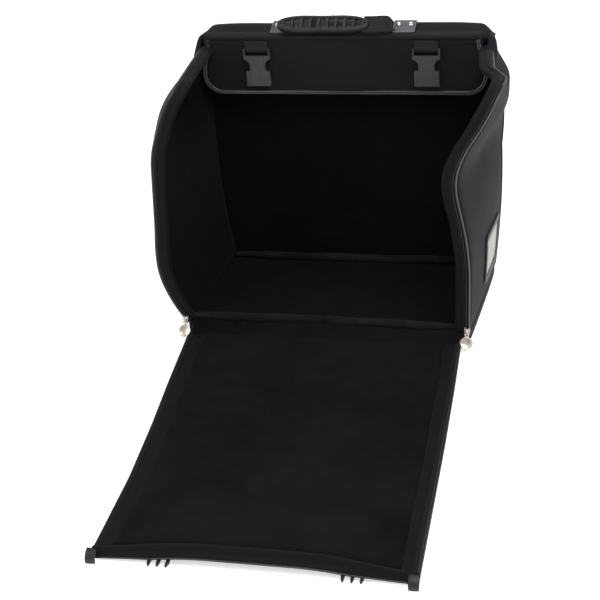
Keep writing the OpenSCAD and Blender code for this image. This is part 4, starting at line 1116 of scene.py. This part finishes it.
def patch(side):
    word = WORD[side]
    u, v = grid(22, 22, -1)
    half = PATCH_W / 2 - 1.2
    x = side * PATCH_X + half * u * (1 - 0.05 * np.abs(v) ** 12)
    y = PATCH_Y + (half + 2.5) * v * (1 - 0.05 * np.abs(u) ** 12) - 1.0
    lift = 3.0 + crown_at(y) + 0.9 * (1 - u ** 8) * (1 - v ** 8) + 0.25 * fbm(x, y, 0, 14, 401 + side)
    over = points(x, y, BODY_H + lift)
    under = points(x, y, BODY_H + 0.3 + crown_at(y))
    pad = slab(word + "_patch_leather", over, under, [PATCH], 0.1)
    done(pad, "case", [word + "_handle_patch"])
    t = np.linspace(-0.95, 0.95, 12)
    rim = np.array([(a, -1) for a in t] + [(1, a) for a in t] + [(-a, 1) for a in t] + [(-1, -a) for a in t])
    y = PATCH_Y - 1 + (half + 2.3) * rim[:, 1]
    rim = points(side * PATCH_X + (half - 0.2) * rim[:, 0], y, BODY_H + 3.1 + crown_at(y))
    done(tube(word + "_patch_rim", rim, 0.95, [PATCH_EDGE], 8, closed=True), "case")
    # sewn square and a triangle under the rivets
    k = half - 4.0
    square = [(-k, -k), (k, -k), (k, k), (-k, k), (-k, -k)]
    triangle = [(-k + 3, -k + 2.5), (0, -1.0), (k - 3, -k + 2.5)]
    for tag, pts in (("square", square), ("triangle", triangle)):
        line = resample([(side * PATCH_X + a, PATCH_Y + b) for a, b in pts], 60)
        line = points(line[:, 0], line[:, 1], BODY_H + 4.1 + crown_at(line[:, 1]))
        done(dashes("%s_patch_%s" % (word, tag), line, (0, 0, 1), STITCH_PALE, 2.6, 1.2), "case")
    made = []
    for number, shift in ((1, -10.5), (2, 10.5)):
        co = []
        for r, h in RIVET_PROFILE:
            x, y = circle(r, RIVET_SIDES).T
            co += points(side * PATCH_X + shift + x, PATCH_Y + y, BODY_H + 4.2 + h + crown_at(PATCH_Y + y)).tolist()
        o = make_mesh("%s_rivet_%d" % (word, number), co, ring_quads(len(RIVET_PROFILE), RIVET_SIDES), [RIVET])
        made.append(done(fix_normals(o), "case"))
    return made


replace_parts(patch(-1)[0], "handle_rivets")
patch(1)


def leaf(inset, n):
    """Outline of the moulded grip, a leaf with blunt ends and a slight waist."""
    w, l = GRIP_W / 2 - inset, GRIP_L / 2 - inset
    c, s = circle(1.0, n).T
    x = l * np.sign(c) * np.abs(c) ** 0.72
    y = w * np.sign(s) * np.abs(s) ** 0.82
    return np.stack([x, y * (1 - 0.12 * np.exp(-(x / (0.42 * l)) ** 2))], 1)


def leaf_half(x, inset):
    p = leaf(inset, 720)
    top_ = p[p[:, 1] >= 0]
    order = np.argsort(top_[:, 0])
    return np.interp(x, top_[order, 0], top_[order, 1])


def grip():
    n = GRIP_SIDES
    co = [(x + GRIP_X, y + GRIP_Y, h - GRIP_T / 2 + GRIP_Z) for inset, h in GRIP_RINGS for x, y in leaf(inset, n)]
    faces = ring_quads(len(GRIP_RINGS), n)
    faces += [list(range(n))[::-1], [(len(GRIP_RINGS) - 1) * n + j for j in range(n)]]
    parts = [fix_normals(make_mesh("part", co, faces, [GRIP]))]
    # ribs across the hollow, leaning outward towards the ends
    span = GRIP_L / 2 - 13
    for x0 in np.linspace(-span, span, 10):
        half = max(2.5, float(leaf_half(x0, 6.5)))
        y = np.linspace(-half, half, 15)
        lean = 2.7 * (x0 / span) ** 3 * (1 - (y / (GRIP_W / 2)) ** 2)
        path = points(GRIP_X + x0 + lean, GRIP_Y + y, GRIP_Z - GRIP_T / 2 + 9.6 + 1.4 * (1 - (y / half) ** 2))
        w = 3.3 if abs(x0) < span * 0.75 else 2.6
        parts.append(sweep("part", path, (1, 0, 0), (0, 0, 1), rounded_box(2 * w, 5.2, 1.7), [GRIP]))
    # small drain holes along the far rim, each a flat near-black disc: painted shade in the hole
    for x0 in (-34, -17, 0, 17, 34):
        a, b = circle(1.5, 14).T
        hole = points(GRIP_X + x0 + a * 1.3, GRIP_Y + leaf_half(x0, 3.6) + b, GRIP_Z + GRIP_T / 2 - 0.62)
        parts.append(make_mesh("part", hole, [list(range(14))], [OPENING_SHADE]))
    o = join(parts, "handle_grip_moulding")
    pivot = Matrix.Translation((GRIP_X * MM, GRIP_Y * MM, GRIP_Z * MM))
    o.data.transform(pivot @ Matrix.Rotation(GRIP_TILT, 4, "X") @ pivot.inverted())
    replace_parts(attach(o, "handle"), "handle_grip")


grip()

# webbing under the grip: it stands up in a loop at the right and lies flat at the left
RIGHT_STRAP = [(GRIP_END - 10, GRIP_Y, GRIP_Z), (GRIP_END + 6, GRIP_Y, GRIP_Z),
               (GRIP_END + 20, GRIP_Y + 0.5, GRIP_Z + 0.6), (GRIP_END + 30, GRIP_Y + 3, GRIP_Z - 0.8),
               (GRIP_END + 35, GRIP_Y + 12, BODY_H + 9.0), (PATCH_X - 18, PATCH_Y - 3, BODY_H + 4.4),
               (PATCH_X - 10, PATCH_Y, BODY_H + 2.4), (PATCH_X + 14, PATCH_Y, BODY_H + 1.8)]
LEFT_STRAP = [(-PATCH_X - 14, PATCH_Y, BODY_H + 1.8), (-PATCH_X + 10, PATCH_Y, BODY_H + 1.9),
              (-PATCH_X + 19, PATCH_Y, BODY_H + 2.6)]
CORE_STRAP = [(-PATCH_X + 24.5, PATCH_Y - 1, BODY_H + 2.2), (-PATCH_X + 30, PATCH_Y - 5, BODY_H + 4.0),
              (-PATCH_X + 40, GRIP_Y + 8, GRIP_Z - 4), (-PATCH_X + 48, GRIP_Y + 1, GRIP_Z), (GRIP_X, GRIP_Y, GRIP_Z),
              (GRIP_END - 8, GRIP_Y, GRIP_Z)]


def tipping(n, start, end):
    """Width directions of webbing, tipped like the grip up to start and flat from end, as shares of its length."""
    a = GRIP_TILT * (1 - ease((np.linspace(0, 1, n) - start) / (end - start)))
    return points(0, np.cos(a), np.sin(a))


def spline(points, n):
    """A smooth line through points."""
    p = np.asarray(points, float)
    p = np.concatenate([[2 * p[0] - p[1]], p, [2 * p[-1] - p[-2]]])
    out = []
    for t in np.linspace(0, len(p) - 3 - 1e-6, n):
        k = int(t)
        f = t - k
        a, b, c, d = p[k:k + 4]
        square, cube = 2 * a - 5 * b + 4 * c - d, 3 * b - a - 3 * c + d
        out.append(0.5 * (2 * b + (c - a) * f + square * f ** 2 + cube * f ** 3))
    return np.array(out)


web = webbing("right_handle_strap", spline(RIGHT_STRAP, 60), PATCH_W - 4, tipping(60, 0.38, 0.74), 3.0)
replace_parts(web, "right_handle_webbing")
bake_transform(web)
web = webbing("left_handle_strap", spline(LEFT_STRAP, 20), PATCH_W - 4, (0, 1, 0), 2.0)
done(web, "case", ["left_handle_webbing"])
web = webbing("handle_core_strap", spline(CORE_STRAP, 50), GRIP_W - 12, tipping(50, 0.6, 0.0), 2.4)
done(web, "handle", ["handle_core"])


# ---------------------------------------------------------------- label holder on the right wall
LABEL_Y, LABEL_Z, LABEL_L, LABEL_H, LABEL_EDGE = 28.0, 110.0, 110.0, 95.0, 12.0
FRAME_SHAPE = [(-5.8, 0.2), (-5.9, 1.8), (-5.2, 2.9), (-3.5, 3.3), (0, 3.5), (3.5, 3.3), (5.2, 2.8), (5.9, 1.6),
               (5.8, 0.2)]


def label_face(dy, dz, off):
    """Places on the right wall's puffed face, given from the label's middle and lifted by off."""
    y, z = LABEL_Y + dy, LABEL_Z + dz
    u = np.clip((y - Y0) / (BODY_D - WALL_T), 0, 1)
    v = np.arcsin(np.clip((z - BASE_T) / (WALL_TOP - BASE_T), 0, 1)) * 2 / np.pi
    puffed = 3.5 * pillow(u, v) - 1.3 * fbm(y, z, 0, 110, WALL_SEED[1]) * pillow(u, v)
    return points(wall_x(1, y, z) + puffed + off, y, z)


def label_ring(inset, r):
    """A rounded rectangle inside the label's outline, with a point at least every 4 mm."""
    corners = rounded_box(LABEL_L - 2 * inset, LABEL_H - 2 * inset, r, 10)
    dense = []
    for p, q in zip(corners, np.roll(corners, -1, 0)):
        steps = max(1, int(np.linalg.norm(q - p) / 4))
        dense += [mix(p, q, t / steps) for t in range(steps)]
    return np.array(dense)


def label():
    d = label_ring(LABEL_EDGE / 2, 6.0)
    t = unit(np.roll(d, -1, 0) - np.roll(d, 1, 0))
    out = points(0, t[:, 1], -t[:, 0])
    o = sweep("label_frame_vinyl", label_face(*d.T, 0.0), out, (1, 0, 0), FRAME_SHAPE, [FRAME], closed=True)
    soft = [done(o, "case", ["label_frame"])]
    for inset, r in ((2.4, 8.0), (LABEL_EDGE - 2.0, 3.0)):
        line = label_face(*label_ring(inset, r).T, 3.25)
        soft.append(done(dashes("label_stitches", line, (1, 0, 0), STITCH_PALE, 2.8, 1.4, 0.35), "case"))
    u, v = grid(20, 20, -1)
    dy, dz = (LABEL_L / 2 - LABEL_EDGE + 1.5) * u, (LABEL_H / 2 - LABEL_EDGE + 1.5) * v
    card = slab("label_blank_card", label_face(dy, dz, 1.0), label_face(dy, dz, 0.4), [CARD], 0.1)
    soft.append(done(card, "case", ["label_card"]))
    over = label_face(dy, dz, 2.0 + 0.3 * (1 - u ** 2))
    window = slab("label_clear_window", over, label_face(dy, dz, 1.5), [WINDOW], 0.1)
    soft.append(done(window, "case", ["label_window"]))
    return soft


label_soft = label()


# ---------------------------------------------------------------- zip sliders and pulls
SLIDER_Z, SLIDER_L, SLIDER_W = 24.0, 14.0, 10.0
SLIDER_Y = Y0 - 2.4
LINK_Y, LINK_Z = SLIDER_Y - 7.0, SLIDER_Z + SLIDER_L / 2
PULL_TILT = math.radians(35)
SLIDER_X = {-1: -273.27, 1: 230.08}
BRIDGE = [(2.6, -4.6), (0.5, -2.9), (-1.9, -1.4), (-2.35, 0.2), (-1.7, 1.7), (0.4, 3.0), (2.6, 4.6)]
LINK_R, PULL_R, PULL_SIDES = 3.4, 11.0, 56
DISC_PROFILE = [(0.0, 0.62), (6.0, 0.62), (8.6, 0.62), (9.2, 0.95), (10.2, 1.0), (10.8, 0.7), (11.0, 0.0), (10.8, -0.7),
                (10.2, -1.0), (9.2, -0.95), (8.6, -0.62), (0.0, -0.62)]


def zip_parts(side):
    word = WORD[side]
    x = SLIDER_X[side]
    w = SLIDER_W / 2
    shield = [(-w, 14), (-w * 0.4, 14), (0, 12.2), (w * 0.4, 14), (w, 14), (w, 7.5), (w * 0.62, 0.4), (-w * 0.62, 0.4),
              (-w, 7.5)]
    parts = [plate(shield, 1.9, SLIDER, 0.5, (x, SLIDER_Y - depth, SLIDER_Z)) for depth in (4.0, 1.0)]
    parts.append(plate([(-1.4, 13), (1.4, 13), (1.4, 8), (-1.4, 8)], 3.0, SLIDER, 0.3, (x, SLIDER_Y - 2.5, SLIDER_Z)))
    across = np.array([1.0, 0, 0])
    p = spline([(x, LINK_Y + y, LINK_Z + z) for y, z in BRIDGE], 24)
    up = np.cross(unit(np.gradient(p, axis=0)), across)
    parts.append(sweep("part", p, across, up, rounded_box(2.8, 1.0, 0.45, 3), [SLIDER]))
    done(join(parts, word + "_slider_plated"), word + "_slider", [word + "_zip_slider"])

    # blank round disc with a raised rim, an eye at its head and a link to the slider
    down = np.array([0.0, -math.sin(PULL_TILT), -math.cos(PULL_TILT)])
    normal = np.cross(across, down)
    head = np.array([x, LINK_Y, LINK_Z])
    mid = head + down * (2 * LINK_R + PULL_R)

    def round_wire(centre, r, wire, n, m):
        ring = [centre + r * (down * math.cos(t) + across * math.sin(t)) for t in turns(n)]
        return tube("part", ring, wire, [PULL], m, closed=True, up=normal)

    co = [mid + r * (across * math.cos(t) + down * math.sin(t)) + normal * h
          for r, h in DISC_PROFILE for t in turns(PULL_SIDES)]
    disc = fix_normals(make_mesh("part", co, ring_quads(len(DISC_PROFILE), PULL_SIDES), [PULL]))
    link = round_wire(head + down * LINK_R, LINK_R, 0.62, 40, 10)
    eye = round_wire(mid - down * (PULL_R - 1.3), 2.0, 0.55, 24, 8)
    done(join([link, disc, eye], word + "_pull_blank"), word + "_pull", [word + "_zip_pull"])


zip_parts(-1)
zip_parts(1)

# each wall's soft parts get meshes of their own
for side, soft in ((-1, left_soft), (1, right_soft + label_soft)):
    for o in soft:
        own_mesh(o)


# ---------------------------------------------------------------- floor, light and camera
def floor():
    """A plain floor that holds the object's shadow and shows as white away from it."""
    mesh = bpy.data.meshes.new("floor")
    mesh.from_pydata([(x, y, -0.0006) for x, y in ((-30, -30), (30, -30), (30, 30), (-30, 30))], [], [(0, 1, 2, 3)])
    o = bpy.data.objects.new("floor", mesh)
    scene.collection.objects.link(o)
    s = Shader("floor_white", 0.9)
    s.color(s.noise(s.place("Object"), 3, 2), (0.3, (FLOOR_WHITE,) * 3), (0.7, (FLOOR_WHITE * 1.01,) * 3))
    path, glow = s.node("LightPath"), s.node("Emission", Color=(1, 1, 1, 1), Strength=FLOOR_GLOW)
    lit = s.node("AddShader", (s.s.outputs[0], 0), (glow.outputs[0], 1))
    seen = s.math("MAXIMUM", path.outputs["Is Glossy Ray"], path.outputs["Is Transmission Ray"])
    seen = s.math("MAXIMUM", path.outputs["Is Camera Ray"], seen)
    pick = s.node("MixShader", (seen, 0), (s.s.outputs[0], 1), (lit.outputs[0], 2))
    s.t.links.new(pick.outputs[0], s.out.inputs[0])
    mesh.materials.append(s.m)


FLOOR_WHITE, FLOOR_GLOW = 0.93, 0.6
floor()

WORLD_LIGHT = 0.35

world = bpy.data.worlds.new("studio")
scene.world = world
world.use_nodes = True
sky = world.node_tree
sky.nodes.clear()
w_out, w_path, w_mix, w_max, w_dim, w_white = (sky.nodes.new("ShaderNode" + kind) for kind in (
    "OutputWorld", "LightPath", "MixShader", "Math", "Background", "Background"))
w_max.operation = "MAXIMUM"
for background, strength in ((w_dim, WORLD_LIGHT), (w_white, 1.0)):
    background.inputs["Color"].default_value = (1, 1, 1, 1)
    background.inputs["Strength"].default_value = strength
for output, socket in ((w_path.outputs["Is Camera Ray"], w_max.inputs[0]), (w_max.outputs[0], w_mix.inputs[0]),
                       (w_path.outputs["Is Transmission Ray"], w_max.inputs[1]), (w_dim.outputs[0], w_mix.inputs[1]),
                       (w_white.outputs[0], w_mix.inputs[2]), (w_mix.outputs[0], w_out.inputs[0])):
    sky.links.new(output, socket)


def lamp(name, place, aim, size, power):
    data = bpy.data.lights.new(name, "AREA")
    data.shape, data.size, data.size_y = "RECTANGLE", size[0], size[1]
    data.energy = power
    o = bpy.data.objects.new(name, data)
    o.location = place
    o.rotation_mode = "QUATERNION"
    o.rotation_quaternion = (Vector(aim) - Vector(place)).to_track_quat("-Z", "Y")
    scene.collection.objects.link(o)


lamp("key_above", (0.6, -1.2, 2.6), (0, -0.2, 0.1), (1.8, 1.8), 44)
lamp("fill_left", (-2.2, -1.4, 1.4), (0, 0, 0.2), (1.4, 1.6), 22)
lamp("fill_right", (2.4, -0.8, 1.3), (0.1, 0, 0.2), (1.4, 1.6), 18)
lamp("back_top", (0.0, 1.6, 2.2), (0, 0, 0.45), (1.8, 1.0), 14)

camera_data = bpy.data.cameras.new("camera")
camera_data.sensor_width = 36.0
camera_data.lens = 84.70
camera_data.clip_start, camera_data.clip_end = 0.05, 100
camera = bpy.data.objects.new("camera", camera_data)
scene.collection.objects.link(camera)
yaw, pitch, roll = (math.radians(a) for a in (14.84, 30.01, -5.29))
forward = Vector((-math.sin(yaw) * math.cos(pitch), math.cos(yaw) * math.cos(pitch), -math.sin(pitch)))
right0 = Vector((math.cos(yaw), math.sin(yaw), 0))
up0 = right0.cross(forward)
right = math.cos(roll) * right0 + math.sin(roll) * up0
up = -math.sin(roll) * right0 + math.cos(roll) * up0
turn = Matrix((right, up, -forward)).transposed().to_4x4()
camera.matrix_world = Matrix.Translation((0.485, -2.187, 1.309)) @ turn
scene.camera = camera

scene.view_settings.view_transform = "Standard"
